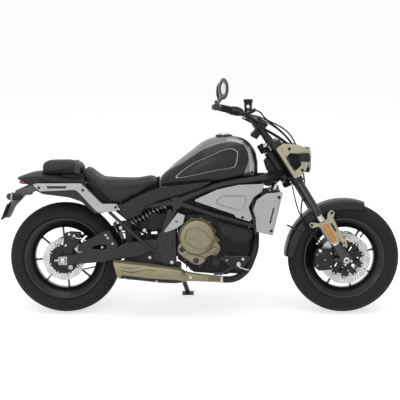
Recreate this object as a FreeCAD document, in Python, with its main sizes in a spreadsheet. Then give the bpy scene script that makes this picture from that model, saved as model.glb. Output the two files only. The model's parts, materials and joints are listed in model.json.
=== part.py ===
import FreeCAD, Part
import math
import os
import Sketcher
from FreeCAD import Placement, Rotation, Vector

# Cruiser motorcycle, leaning on its side stand. Millimetres and degrees.
# It is drawn upright, X forward, Y to its left, Z up, and x = 0 halfway between the wheels.
# Every sub-part is then leaned over onto the stand. "Out" means away from the middle plane.

# Driving dimensions: name, value
SIZES = [
    # The whole machine
    ("wheelbase", 1540), ("lean", 9), ("origin_forward", 27), ("origin_left", -172),
    ("fit_gap", 0.4), ("running_gap", 1.5),
    # Tyres and wheels
    ("tyre_radius", 307), ("crown_radius", 76), ("front_tyre_width", 130), ("rear_tyre_width", 150),
    ("bead_radius", 222), ("bead_seat_width", 96), ("rear_bead_seat_width", 112),
    ("rim_depth", 44), ("rim_wall", 6), ("rim_well", 26), ("spoke_count", 8), ("spoke_root", 30),
    ("spoke_tip", 17), ("spoke_thick", 26), ("hub_radius", 46), ("axle_radius", 9),
    ("axle_bore_radius", 5.5),
    ("front_spoke_angle", 15), ("rear_spoke_angle", 5),
    # Brakes
    ("front_disc_radius", 140), ("front_disc_width", 36), ("rear_disc_radius", 117),
    ("rear_disc_width", 34), ("disc_thick", 5), ("front_disc_out", 66), ("rear_disc_out", 76),
    ("carrier_lug_count", 10),
    # Steering and fork
    ("rake", 31.7), ("fork_offset", 45), ("leg_out", 108), ("leg_radius", 21.5),
    ("slider_radius", 27), ("slider_top", 250), ("leg_top", 752), ("hose_radius", 4),
    ("lower_clamp_up", 500), ("upper_clamp_up", 722), ("clamp_thick", 30), ("stem_radius", 13),
    ("headstock_radius", 31), ("headstock_gap", 6),
    # Lamps on the fork
    ("headlight_radius", 72), ("headlight_length", 118), ("headlight_forward", 31),
    ("headlight_up", 617), ("lamp_bracket_thick", 8),
    ("marker_length", 110), ("marker_width", 26), ("marker_thick", 12),
    # Handlebar
    ("bar_radius", 12.5), ("bar_up", 888), ("bar_half_width", 392), ("grip_radius", 17),
    ("grip_length", 118), ("riser_radius", 17), ("riser_out", 66), ("mirror_radius", 54),
    ("mirror_thick", 14), ("dash_length", 104), ("dash_height", 38),
    # Front mudguard
    ("guard_gap", 18), ("guard_wall", 4), ("guard_width", 150), ("guard_skirt", 56),
    ("guard_start", 71), ("guard_sweep", 107),
    # Frame
    ("frame_tube_radius", 14), ("beam_radius", 19), ("knuckle_radius", 31), ("frame_out", 128),
    ("pivot_forward", -197), ("pivot_height", 392), ("pivot_plate_thick", 12),
    ("strut_radius", 9),
    # Engine
    ("crankcase_out", 104), ("cylinder_out", 122), ("clutch_forward", -42), ("clutch_height", 437),
    ("clutch_radius", 95), ("clutch_thick", 72), ("side_cover_thick", 44),
    # Tank, seats and tail
    ("tank_back", -245), ("tank_base", 700), ("tank_length", 535), ("tank_height", 280),
    ("tank_half_width", 155), ("cap_radius", 34), ("cap_height", 7),
    ("seat_length", 398), ("seat_height", 212), ("seat_half_width", 146),
    ("pillion_length", 220), ("pillion_height", 78), ("pillion_half_width", 96),
    ("tail_length", 372), ("tail_height", 76), ("tail_half_width", 112),
    ("lamp_length", 30), ("lamp_height", 18), ("lamp_width", 130),
    ("rail_out", 122), ("rail_thick", 14), ("skirt_thick", 5),
    # Side covers and radiator
    ("air_cover_thick", 10), ("panel_thick", 12),
    ("shroud_thick", 22), ("radiator_half_width", 160), ("radiator_thick", 32),
    # Swingarm, shock absorber and drive
    ("arm_out", 105), ("arm_thick", 26), ("cross_tube_radius", 22), ("shock_radius", 26),
    ("wheel_pulley_radius", 100), ("engine_pulley_radius", 48),
    ("belt_width", 20), ("belt_thick", 5), ("belt_out", 91), ("pulley_gap", 0.6),
    ("inner_guard_gap", 22), ("inner_guard_wall", 4), ("inner_guard_width", 136),
    ("inner_guard_start", -6), ("inner_guard_sweep", 42), ("battery_case_out", 32),
    ("battery_case_thick", 40), ("intake_box_width", 96),
    # Exhaust
    ("muffler_out", 152), ("pipe_radius", 18), ("muffler_bracket_out", 88),
    ("muffler_bracket_thick", 10),
    # Stand, feet and plate
    ("stand_radius", 13), ("stand_pivot_forward", -150), ("stand_pivot_out", 150),
    ("stand_pivot_height", 232), ("stand_foot_forward", -96), ("stand_foot_out", 268),
    ("stand_pin_radius", 6),
    ("stand_foot_thick", 10), ("stand_foot_length", 66), ("peg_radius", 18), ("peg_length", 108),
    ("peg_out", 196), ("plate_width", 190), ("plate_height", 140), ("plate_thick", 2),
]


class Size:
    """A dimension: its value, and the sheet expression that the model is bound to."""

    def __init__(self, value, text):
        self.value = float(value)
        self.text = text

    def join(self, other, sign, result):
        return Size(result, "(%s %s %s)" % (self.text, sign, text_of(other)))

    def __add__(self, other):
        return self.join(other, "+", self.value + value_of(other))

    def __sub__(self, other):
        return self.join(other, "-", self.value - value_of(other))

    def __mul__(self, other):
        return self.join(other, "*", self.value * value_of(other))

    def __truediv__(self, other):
        return self.join(other, "/", self.value / value_of(other))

    def __radd__(self, other):
        return self + other

    def __rmul__(self, other):
        return self * other

    def __rsub__(self, other):
        return Size(value_of(other) - self.value, "(%s - %s)" % (text_of(other), self.text))

    def __neg__(self):
        return Size(-self.value, "(-1 * %s)" % self.text)


def value_of(number):
    return number.value if isinstance(number, Size) else float(number)


def numbers(*parts):
    return Vector(*[value_of(part) for part in parts])


def text_of(number):
    return number.text if isinstance(number, Size) else repr(float(number))


def sine(angle):
    return Size(math.sin(math.radians(angle.value)), "sin(%s)" % angle.text)


def cosine(angle):
    return Size(math.cos(math.radians(angle.value)), "cos(%s)" % angle.text)


def root(size):
    return Size(math.sqrt(size.value), "sqrt(%s)" % size.text)


doc = FreeCAD.newDocument("Motorcycle")
sheet = doc.addObject("Spreadsheet::Sheet", "Sizes")


class Sheet:
    """The driving dimensions by name, as S.wheelbase and so on."""


S = Sheet()
for row, (name, number) in enumerate(SIZES, start=1):
    sheet.set("A%d" % row, name)
    sheet.set("B%d" % row, str(number))
    sheet.setAlias("B%d" % row, name)
    setattr(S, name, Size(number, "Sizes." + name))
doc.recompute()

# Places that several sub-parts share
front_x = S.wheelbase / 2
rear_x = S.wheelbase / -2
axle_z = S.tyre_radius
zero = S.wheelbase * 0
pivot_plate_out = S.arm_out + S.arm_thick + S.running_gap
outside_tubes = S.frame_out + S.frame_tube_radius + S.fit_gap
pulley_x = S.pivot_forward + 76
pulley_z = S.pivot_height + 6
tank_rest_x = S.tank_back + S.tank_length * 0.65
seat_rear = S.tank_back - 8 - S.seat_length
tail_base = 716


def on_fork(forward, up):
    """Upright x and z of a point given along the fork: ahead of the legs, and above the axle."""
    x = front_x + forward * cosine(S.rake) - up * sine(S.rake)
    z = axle_z + forward * sine(S.rake) + up * cosine(S.rake)
    return x, z


# Helpers: each makes one feature and binds its sizes to the sheet
def give(thing, **properties):
    for key, what in properties.items():
        if isinstance(what, Size):
            thing.setExpression(key, what.text)
        else:
            setattr(thing, key, what)
    return thing


def place(thing, x=0, y=0, z=0, axis=None, angle=0):
    """Turn the thing about an axis and move it, with its place bound to the sheet."""
    turn = Rotation(Vector(*axis), value_of(angle)) if axis else Rotation()
    thing.Placement = Placement(Vector(value_of(x), value_of(y), value_of(z)), turn)
    for key, number in (("x", x), ("y", y), ("z", z)):
        if isinstance(number, Size):
            thing.setExpression("Placement.Base." + key, number.text)
    return thing


def on_front_axle(thing, leaned_back=False):
    """Set a thing drawn about the front axle in place; along the fork if leaned back."""
    if leaned_back:
        return place(thing, front_x, 0, axle_z, (0, 1, 0), -S.rake)
    return place(thing, front_x, 0, axle_z)


def new_body(name):
    return doc.addObject("PartDesign::Body", name)


def plane_of(body, role):
    return [item for item in body.Origin.OriginFeatures if item.Role == role][0]


def sketch(body, role, outlines, offset=0):
    """A sketch of closed outlines. A corner is (a, b); ("arc", middle, end) bulges to the next."""
    made = body.newObject("Sketcher::SketchObject", body.Name + "Sketch")
    made.AttachmentSupport = [(plane_of(body, role), "")]
    made.MapMode = "FlatFace"
    made.AttachmentOffset = Placement(Vector(0, 0, value_of(offset)), Rotation())
    if isinstance(offset, Size):
        made.setExpression("AttachmentOffset.Base.z", offset.text)
    for outline in outlines:
        draw_outline(made, outline)
    return made


def flat(point):
    return Vector(value_of(point[0]), value_of(point[1]), 0)


def counterclockwise(start, middle, end):
    """An arc through three points, in the turning sense that a sketch keeps."""
    if (middle - start).cross(end - middle).z < 0:
        start, end = end, start
    return Part.Arc(start, middle, end)


def draw_outline(made, outline):
    ends = [step[2] if step[0] == "arc" else step for step in outline]
    first = made.GeometryCount
    for number, step in enumerate(outline):
        start = flat(ends[number - 1])
        if step[0] == "arc":
            made.addGeometry(counterclockwise(start, flat(step[1]), flat(step[2])), False)
        else:
            made.addGeometry(Part.LineSegment(start, flat(step)), False)
    for number, end in enumerate(ends):
        edge = first + number
        geometry = made.Geometry[edge]
        corner = 2 if (geometry.EndPoint - flat(end)).Length < 1e-6 else 1
        following = first + (number + 1) % len(ends)
        opening = made.Geometry[following]
        other = 1 if (opening.StartPoint - flat(end)).Length < 1e-6 else 2
        made.addConstraint(Sketcher.Constraint("Coincident", edge, corner, following, other))
        for kind, part in (("DistanceX", end[0]), ("DistanceY", end[1])):
            rule = Sketcher.Constraint(kind, -1, 1, edge, corner, value_of(part))
            index = made.addConstraint(rule)
            if isinstance(part, Size):
                made.setExpression("Constraints[%d]" % index, part.text)


def circle(made, x, y, radius):
    edge = made.addGeometry(Part.Circle(flat((x, y)), Vector(0, 0, 1), value_of(radius)), False)
    index = made.addConstraint(Sketcher.Constraint("Radius", edge, value_of(radius)))
    if isinstance(radius, Size):
        made.setExpression("Constraints[%d]" % index, radius.text)
    for kind, part in (("DistanceX", x), ("DistanceY", y)):
        rule = Sketcher.Constraint(kind, -1, 1, edge, 3, value_of(part))
        index = made.addConstraint(rule)
        if isinstance(part, Size):
            made.setExpression("Constraints[%d]" % index, part.text)


def pad(body, profile, length):
    made = body.newObject("PartDesign::Pad", body.Name + "Pad")
    made.Profile = profile
    give(made, Length=length)
    body.Tip = made
    return made


def revolve(body, profile, axis="H_Axis", angle=360):
    made = body.newObject("PartDesign::Revolution", body.Name + "Turn")
    made.Profile = profile
    made.ReferenceAxis = (profile, [axis])
    give(made, Angle=angle)
    body.Tip = made
    return made


def pocket(body, profile, length, backwards=False):
    before = body.Shape.Volume
    made = body.newObject("PartDesign::Pocket", body.Name + "Pocket")
    made.Profile = profile
    give(made, Length=length)
    made.Reversed = backwards
    body.Tip = made
    doc.recompute()
    if not made.Shape.Volume < before - 1:
        raise RuntimeError("a pocket in %s cuts nothing" % body.Name)
    return made


def round_upright_edges(body, radius):
    """Round the corners of a padded outline."""
    doc.recompute()
    base = body.Tip
    picked = []
    for number, edge in enumerate(base.Shape.Edges, start=1):
        if len(edge.Vertexes) < 2 or edge.Curve.TypeId != "Part::GeomLine":
            continue
        along = edge.tangentAt(edge.FirstParameter)
        if abs(along.y) > 0.99:
            picked.append("Edge%d" % number)
    made = body.newObject("PartDesign::Fillet", body.Name + "Corners")
    made.Base = (base, picked)
    give(made, Radius=radius)
    body.Tip = made
    return made


def round_outer_face(body, radius):
    """Soften the edges round the outermost face of a padded outline."""
    doc.recompute()
    base = body.Tip
    outermost = base.Shape.BoundBox.YMin
    picked = []
    for number, edge in enumerate(base.Shape.Edges, start=1):
        box = edge.BoundBox
        if abs(box.YMin - outermost) < 1e-3 and abs(box.YMax - outermost) < 1e-3:
            picked.append("Edge%d" % number)
    made = body.newObject("PartDesign::Chamfer", body.Name + "Edge")
    made.Base = (base, picked)
    give(made, Size=radius)
    body.Tip = made
    return made


def plate(name, outlines, inner, thick, corner=None, edge=None):
    """An outline in the side view, padded outwards on the right from inner by thick."""
    body = new_body(name)
    if not isinstance(outlines[0], list):
        outlines = [outlines]
    pad(body, sketch(body, "XZ_Plane", outlines, inner), thick)
    if corner is not None:
        round_upright_edges(body, corner)
    if edge is not None:
        round_outer_face(body, edge)
    return body


def drawn(points, back, base, length, height):
    """Stretch a hand-drawn outline to its length and height, its lowest corner at back, base."""
    left = min(point[0] for point in points)
    low = min(point[1] for point in points)
    wide = max(point[0] for point in points) - left
    tall = max(point[1] for point in points) - low
    stretched = []
    for x, z in points:
        stretched.append((back + length * ((x - left) / wide), base + height * ((z - low) / tall)))
    return stretched


def bar(name, start, end, radius, inner=None):
    """A straight round bar, or a tube if it has an inner radius."""
    a = numbers(*start)
    b = numbers(*end)
    made = doc.addObject("Part::Cylinder", name)
    give(made, Radius=radius)
    made.Height = (b - a).Length
    made.Placement = Placement(a, Rotation(Vector(0, 0, 1), b - a))
    if inner is None:
        return made
    hole = doc.addObject("Part::Cylinder", name + "Bore")
    give(hole, Radius=inner)
    hole.Height = made.Height
    hole.Placement = made.Placement
    return cut(name + "Tube", made, hole)


def tube(name, points, radius, bend=None):
    """A round tube along straight runs joined by tangent arcs: of the radius given as bend,
    one for all corners or a list, or else as wide as the runs beside each corner allow."""
    corners = [numbers(*point) for point in points]
    edges = []
    start = corners[0]
    bends = bend if isinstance(bend, list) else [bend] * (len(corners) - 2)
    for before, corner, after, bend in zip(corners, corners[1:], corners[2:], bends):
        shorter = min((before - corner).Length, (after - corner).Length)
        back = (before - corner).normalize()
        on = (after - corner).normalize()
        half = back.getAngle(on) / 2
        round_by = 0.45 * shorter * math.tan(half) if bend is None else value_of(bend)
        reach = round_by / math.tan(half)
        middle = (back + on).normalize() * (round_by / math.sin(half) - round_by)
        first = corner + back * reach
        last = corner + on * reach
        edges.append(Part.LineSegment(start, first).toShape())
        edges.append(Part.Arc(first, corner + middle, last).toShape())
        start = last
    edges.append(Part.LineSegment(start, corners[-1]).toShape())
    path = doc.addObject("Part::Feature", name + "Path")
    path.Shape = Part.Wire(edges)
    ring = doc.addObject("Part::Circle", name + "Ring")
    give(ring, Radius=radius)
    ring.Placement = Placement(corners[0], Rotation(Vector(0, 0, 1), corners[1] - corners[0]))
    made = doc.addObject("Part::Sweep", name)
    made.Sections = [ring]
    made.Spine = (path, ["Edge%d" % (number + 1) for number in range(len(edges))])
    made.Solid = True
    return made


def fuse(name, *things):
    made = doc.addObject("Part::MultiFuse", name)
    made.Shapes = list(things)
    return made


def cut(name, whole, tool):
    made = doc.addObject("Part::Cut", name)
    made.Base = whole
    made.Tool = tool
    return made


def mirrored(thing):
    """The same thing on the left side."""
    made = doc.addObject("Part::Mirroring", thing.Name + "Left")
    made.Source = thing
    made.Normal = Vector(0, 1, 0)
    return made


def loft(name, stations, back, base, length, height, half_width):
    """A crowned form along X. A station: share of length, then underside, shoulder and top as
    shares of height, then the half widths at the underside and the shoulder as shares."""
    body = new_body(name)
    sections = []
    for along, under, shoulder, top, low_width, width in stations:
        low = (half_width * low_width, base + height * under)
        side = (half_width * width, base + height * shoulder)
        peak = (zero, base + height * top)
        outline = [(-low[0], low[1]), low, side, ("arc", peak, (-side[0], side[1]))]
        sections.append(sketch(body, "YZ_Plane", [outline], back + length * along))
    made = body.newObject("PartDesign::AdditiveLoft", name + "Loft")
    made.Profile = sections[0]
    made.Sections = sections[1:]
    body.Tip = made
    return body


SUB_PARTS = []


def sub_part(label, *pieces):
    """A named sub-part: its pieces together, to be leaned over with the whole machine."""
    made = doc.addObject("Part::Compound", label)
    made.Label = label
    made.Links = list(pieces)
    SUB_PARTS.append(made)
    return made


# Wheels
def wheel_outline(half_width, bead_half, crown_radius):
    """Tyre section across the wheel: a round crown, sides that pull in to the bead."""
    rise = root(crown_radius * crown_radius - half_width * half_width)
    edge = axle_z - crown_radius + rise
    top = (zero, axle_z)
    bead = (bead_half, S.bead_radius)
    bulge_y = half_width * 0.985
    bulge_z = edge - (edge - S.bead_radius) * 0.4
    return [
        (-bead[0], bead[1]),
        bead,
        ("arc", (bulge_y, bulge_z), (half_width, edge)),
        ("arc", top, (-half_width, edge)),
        ("arc", (-bulge_y, bulge_z), (-bead[0], bead[1])),
    ]


def tyre(name, x, width, bead_width):
    body = new_body(name)
    outline = wheel_outline(width / 2, bead_width / 2, S.crown_radius)
    revolve(body, sketch(body, "YZ_Plane", [outline[1:]]))
    return place(body, x, 0, axle_z)


def rim(name, x, bead_width, right, left, spoke_angle):
    """Cast wheel: a rim with a drop well, eight tapered spokes and a bored hub."""
    body = new_body(name)
    half = bead_width / 2
    outer = S.bead_radius - S.fit_gap
    well = S.bead_radius - S.rim_well
    inside = S.bead_radius - S.rim_depth
    section = [
        (-half, outer), (-half * 0.55, outer), (-half * 0.4, well), (half * 0.4, well),
        (half * 0.55, outer), (half, outer), (half, outer - S.rim_wall),
        (half * 0.6, inside), (-half * 0.6, inside), (-half, outer - S.rim_wall),
    ]
    revolve(body, sketch(body, "YZ_Plane", [section]))
    bore = S.axle_radius + S.fit_gap
    hub = [(-right, bore), (left, bore), (left, S.hub_radius * 0.9),
           (left * 0.6, S.hub_radius), (-right * 0.6, S.hub_radius),
           (-right, S.hub_radius * 0.9)]
    revolve(body, sketch(body, "YZ_Plane", [hub]))
    spoke = [(S.hub_radius * 0.7, S.spoke_root / -2), (inside + S.rim_wall, S.spoke_tip / -2),
             (inside + S.rim_wall, S.spoke_tip / 2), (S.hub_radius * 0.7, S.spoke_root / 2)]
    first = pad(body, sketch(body, "XZ_Plane", [spoke], S.spoke_thick / -2), S.spoke_thick)
    round_count = body.newObject("PartDesign::PolarPattern", name + "Spokes")
    round_count.Originals = [first]
    round_count.Axis = (plane_of(body, "Y_Axis"), [""])
    give(round_count, Angle=360)
    give(round_count, Occurrences=S.spoke_count)
    body.Tip = round_count
    return place(body, x, 0, axle_z, (0, 1, 0), -spoke_angle)


def disc(name, x, radius, width, out):
    """Brake disc: a flat ring, and a carrier with lugs out to it."""
    body = new_body(name)
    profile = sketch(body, "XZ_Plane", [], out)
    circle(profile, 0, 0, radius)
    circle(profile, 0, 0, radius - width)
    pad(body, profile, S.disc_thick)
    carrier = sketch(body, "XZ_Plane", [], out)
    circle(carrier, 0, 0, radius - width + 1)
    circle(carrier, 0, 0, radius - width - 14)
    pad(body, carrier, S.disc_thick)
    inner = sketch(body, "XZ_Plane", [], out)
    circle(inner, 0, 0, S.hub_radius)
    circle(inner, 0, 0, S.hub_radius * 0.68)
    pad(body, inner, S.disc_thick)
    arm = [(S.hub_radius - 4, -7), (radius - width - 8, -5), (radius - width - 8, 5),
           (S.hub_radius - 4, 7)]
    first = pad(body, sketch(body, "XZ_Plane", [arm], out), S.disc_thick)
    lugs = body.newObject("PartDesign::PolarPattern", name + "Lugs")
    lugs.Originals = [first]
    lugs.Axis = (plane_of(body, "Y_Axis"), [""])
    give(lugs, Angle=360)
    give(lugs, Occurrences=S.carrier_lug_count)
    body.Tip = lugs
    return place(body, x, 0, axle_z)


def make_wheels():
    sub_part("front_tyre", tyre("FrontTyre", front_x, S.front_tyre_width, S.bead_seat_width))
    sub_part("rear_tyre", tyre("RearTyre", rear_x, S.rear_tyre_width, S.rear_bead_seat_width))
    sub_part("front_rim", rim("FrontRim", front_x, S.bead_seat_width, S.front_disc_out,
                              S.front_disc_out, S.front_spoke_angle))
    sub_part("rear_rim", rim("RearRim", rear_x, S.rear_bead_seat_width, S.rear_disc_out,
                             S.belt_out - S.belt_width / 2, S.rear_spoke_angle))
    front = disc("FrontDisc", front_x, S.front_disc_radius, S.front_disc_width,
                 S.front_disc_out)
    sub_part("front_discs", front, mirrored(front))
    sub_part("rear_disc", disc("RearDisc", rear_x, S.rear_disc_radius, S.rear_disc_width,
                               S.rear_disc_out))


def make_axles():
    reach = S.leg_out + S.slider_radius * 0.5
    front = bar("FrontAxle", (front_x, -reach, axle_z), (front_x, reach, axle_z),
                S.axle_radius, S.axle_bore_radius)
    sub_part("front_axle", front)
    reach = S.arm_out + S.arm_thick + 12
    rear = bar("RearAxle", (rear_x, -reach, axle_z), (rear_x, reach, axle_z), S.axle_radius)
    sub_part("rear_axle", rear)


# Drive on the left: toothed belt round the engine pulley and the wheel pulley
def make_drive():
    body = new_body("WheelPulley")
    profile = sketch(body, "XZ_Plane", [], -S.belt_out - S.belt_width / 2)
    circle(profile, 0, 0, S.wheel_pulley_radius)
    circle(profile, 0, 0, S.hub_radius * 0.68)
    pad(body, profile, S.belt_width)
    place(body, rear_x, 0, axle_z)
    sub_part("rear_pulley", body)
    belt = new_body("Belt")
    wheel = S.wheel_pulley_radius + S.pulley_gap
    small = S.engine_pulley_radius + S.pulley_gap
    run = sketch(belt, "XZ_Plane", [belt_loop(wheel + S.belt_thick, small + S.belt_thick),
                                    belt_loop(wheel, small)], -S.belt_out - S.belt_width / 2)
    pad(belt, run, S.belt_width)
    sub_part("drive_belt", belt)
    inner = S.belt_out - S.belt_width / 2
    drum = bar("EnginePulley", (pulley_x, inner, pulley_z), (pulley_x, inner + S.belt_width,
               pulley_z), S.engine_pulley_radius)
    shaft = bar("OutputShaft", (pulley_x, inner - 5.6, pulley_z), (pulley_x, inner + S.belt_width,
                pulley_z), 12)
    sub_part("engine_pulley", fuse("EnginePulleyWhole", drum, shaft))


def belt_loop(big, small):
    """Two arcs and the two straight runs between them."""
    ax, az = value_of(rear_x), value_of(axle_z)
    bx, bz = value_of(pulley_x), value_of(pulley_z)
    span = math.hypot(bx - ax, bz - az)
    tilt = math.atan2(bz - az, bx - ax)
    open_angle = math.acos((value_of(big) - value_of(small)) / span)
    corners = []
    for centre_x, centre_z, radius, sign in ((ax, az, big, 1), (bx, bz, small, 1),
                                             (bx, bz, small, -1), (ax, az, big, -1)):
        turn = tilt + sign * open_angle
        corners.append((centre_x + value_of(radius) * math.cos(turn),
                        centre_z + value_of(radius) * math.sin(turn)))
    far = (ax - value_of(big) * math.cos(tilt), az - value_of(big) * math.sin(tilt))
    near = (bx + value_of(small) * math.cos(tilt), bz + value_of(small) * math.sin(tilt))
    return [corners[1], ("arc", near, corners[2]), corners[3], ("arc", far, corners[0])]


# Fork assembly: drawn along the fork, with the front axle as its origin
def along_fork(name, outline, inner, thick, corner=None, edge=None):
    """A plate in the fork's own side view."""
    body = plate(name, outline, inner, thick, corner, edge)
    return on_front_axle(body, True)


def fork_bar(name, forward, out, low, high, radius, inner=None):
    """A round bar parallel to the fork legs."""
    start = on_fork(forward, low)
    end = on_fork(forward, high)
    return bar(name, (start[0], out, start[1]), (end[0], out, end[1]), radius, inner)


def make_fork():
    legs = [fork_bar("ForkLeg%d" % side, 0, S.leg_out * side, S.slider_top, S.leg_top,
                     S.leg_radius) for side in (-1, 1)]
    sub_part("fork_legs", *legs)
    right = []
    right.append(fork_bar("Slider", 0, -S.leg_out, 24, S.slider_top, S.slider_radius))
    foot = along_fork("SliderFoot", drawn(SLIDER_FOOT, -26, -22, 56, 60),
                      S.leg_out - S.slider_radius * 0.7, S.slider_radius * 1.4, 8)
    right.append(foot)
    for number, height in enumerate((-8, 30)):
        lug = [(front_x - 66 + S.fit_gap, axle_z + height), (front_x - 14, axle_z + height - 4),
               (front_x - 14, axle_z + height + 22), (front_x - 66 + S.fit_gap,
                                                      axle_z + height + 16)]
        right.append(plate("CaliperLug%d" % number, lug, S.front_disc_out + 20, 18))
    solid = fuse("SliderRight", *right)
    hole = bar("SliderAxleHole", (front_x, -S.leg_out * 2, axle_z), (front_x, 0, axle_z),
               S.axle_radius + S.fit_gap)
    slider = cut("SliderBored", solid, hole)
    sub_part("fork_sliders", slider, mirrored(slider))


SLIDER_FOOT = [(-26, 38), (-26, -8), (-12, -22), (14, -22), (30, -8), (30, 38)]


def clamp(name, up):
    """A triple clamp, drawn from above: a ring round each leg and a waist round the stem."""
    body = new_body(name)
    ring = S.leg_radius + 8
    reach = S.leg_out
    back = -S.fork_offset - S.headstock_radius
    half = [(ring, reach * 0.5), (ring, reach), ("arc", (zero, reach + ring), (-ring, reach)),
            (back * 0.72, reach * 0.5), (back, S.headstock_radius)]
    other = [mirror_step(step) for step in half]
    outline = half + back_again(other)
    pad(body, sketch(body, "XY_Plane", [outline], up), S.clamp_thick)
    return on_front_axle(body, True)


def mirror_step(step):
    if step[0] == "arc":
        return ("arc", (step[1][0], -step[1][1]), (step[2][0], -step[2][1]))
    return (step[0], -step[1])


def back_again(steps):
    """The same open line walked the other way, with its arcs ending where they began."""
    ends = [step[2] if step[0] == "arc" else step for step in steps]
    walked = [ends[-1]]
    for number in range(len(steps) - 1, 0, -1):
        end = ends[number - 1]
        walked.append(("arc", steps[number][1], end) if steps[number][0] == "arc" else end)
    return walked


def make_clamps():
    slabs = [clamp("LowerClamp", S.lower_clamp_up), clamp("UpperClamp", S.upper_clamp_up)]
    solid = fuse("Clamps", *slabs)
    holes = [fork_bar("ClampHole%d" % side, 0, S.leg_out * side, S.lower_clamp_up - 10,
                      S.leg_top + 30, S.leg_radius) for side in (-1, 1)]
    bored = cut("ClampsBored", solid, fuse("ClampHoles", *holes))
    stem = fork_bar("Stem", -S.fork_offset, 0, S.lower_clamp_up + 2,
                    S.upper_clamp_up + S.clamp_thick + 14, S.stem_radius)
    nut = fork_bar("StemNut", -S.fork_offset, 0, S.upper_clamp_up + S.clamp_thick - 4,
                   S.upper_clamp_up + S.clamp_thick + 12, S.stem_radius + 8)
    lock = fork_bar("IgnitionLock", -S.fork_offset - 26, 0, S.upper_clamp_up + 4,
                    S.upper_clamp_up + S.clamp_thick + 24, 19)
    sub_part("triple_clamps", fuse("ClampsAndStem", bored, stem, nut, lock))


def make_fork_brackets():
    """Cast brackets that hold the mudguard and carry the side marker lenses."""
    arm = along_fork("GuardArm", drawn(GUARD_ARM, -61, 58, 140, 224), S.leg_out + 12, 12, 3, 2)
    ring = fork_bar("BracketClamp", 0, -S.leg_out, 150, 244, S.slider_radius + 6)
    hole = fork_bar("BracketClampHole", 0, -S.leg_out, 40, 300, S.slider_radius + S.fit_gap)
    sleeve = cut("BracketSleeve", fuse("BracketSolid", arm, ring), hole)
    sub_part("fork_brackets", sleeve, mirrored(sleeve))
    lens = along_fork("Marker", [(-2 - S.marker_width / 2, 126), (S.marker_width / 2, 126),
                      (S.marker_width / 2, S.marker_length + 126),
                      (-2 - S.marker_width / 2, S.marker_length + 126)],
                      S.leg_out + S.slider_radius + 6, S.marker_thick, S.marker_width * 0.42, 3)
    sub_part("marker_lenses", lens, mirrored(lens))


GUARD_ARM = [(-61, 282), (-74, 270), (-70, 250), (-30, 236), (-22, 118), (18, 112), (24, 150),
             (28, 70), (40, 58), (50, 70), (60, 116), (52, 160), (58, 250), (78, 268), (66, 282),
             (40, 272), (22, 246), (-22, 250), (-44, 268)]


def make_headlight():
    """Round lamp: a dished shell closed by its lens, its axis level."""
    body = new_body("Lamp")
    long = S.headlight_length
    wide = S.headlight_radius
    outline = [(zero, zero), (long, zero), (long, wide * 0.9), (long - 10, wide),
               (long - 34, wide), (long * 0.25, wide * 0.78), (zero, wide * 0.3)]
    revolve(body, sketch(body, "XZ_Plane", [outline]))
    x, z = on_fork(S.headlight_forward, S.headlight_up)
    place(body, x, 0, z)
    ear_x, ear_z = on_fork(100, 612)
    inner = S.leg_out + S.leg_radius + S.fit_gap
    reach = inner - S.fit_gap
    ears = bar("LampEars", (ear_x, -reach, ear_z), (ear_x, reach, ear_z), 10)
    sub_part("headlight", fuse("LampAndEars", body, ears))
    side = along_fork("LampBracket", drawn(LAMP_BRACKET, -14, 531, 151, 190), inner,
                      S.lamp_bracket_thick, 8, 2)
    window = along_fork("LampWindow", drawn(LAMP_WINDOW, 14, 572, 64, 90),
                        inner - S.lamp_bracket_thick, S.lamp_bracket_thick * 3)
    right = cut("LampBracketOpen", side, window)
    sub_part("headlight_brackets", right, mirrored(right))


LAMP_BRACKET = [(-14, 721), (33, 724), (70, 701), (111, 666), (137, 614), (112, 572), (65, 538),
                (32, 526), (-8, 529)]
LAMP_WINDOW = [(14, 650), (40, 662), (78, 632), (58, 580), (30, 572)]


def make_bars():
    """One bent tube from grip to grip on two risers."""
    points = bar_points()
    way = [(x, -y, z) for x, y, z in reversed(points)] + points
    handlebar = tube("Handlebar", [spot(point) for point in way], S.bar_radius, 42)
    risers = [fork_bar("Riser%d" % side, -18, S.riser_out * side,
                       S.upper_clamp_up + S.clamp_thick, S.bar_up, S.riser_radius)
              for side in (-1, 1)]
    sub_part("handlebar", fuse("BarAndRisers", handlebar, *risers))
    grips = []
    for side in (-1, 1):
        end = spot((points[-1][0], points[-1][1] * side, points[-1][2]))
        before = spot((points[-2][0], points[-2][1] * side, points[-2][2]))
        grips.append(grip("Grip%d" % side, before, end))
    sub_part("grips", *grips)


def bar_points():
    """Half the bar, from its middle: ahead of the legs, out to the left, up along the fork."""
    up = S.bar_up
    return [(-18, 90, up + 2), (-66, 212, up + 92), (-169, S.bar_half_width, up + 192)]


def spot(point):
    x, z = on_fork(point[0], point[2])
    return (x, point[1], z)


def grip(name, before, end):
    a = Vector(*[value_of(number) for number in before])
    b = Vector(*[value_of(number) for number in end])
    way = (b - a).normalize()
    outer = b - way * 22
    inner = outer - way * value_of(S.grip_length)
    sleeve = bar(name + "Sleeve", tuple(inner), tuple(outer), S.grip_radius)
    weight = bar(name + "Weight", tuple(b - way * 20), tuple(b + way * 6), S.grip_radius)
    inside = bar(name + "Inside", tuple(inner - way), tuple(b + way * 0.2), S.bar_radius)
    return cut(name, fuse(name + "Both", sleeve, weight), inside)


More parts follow.
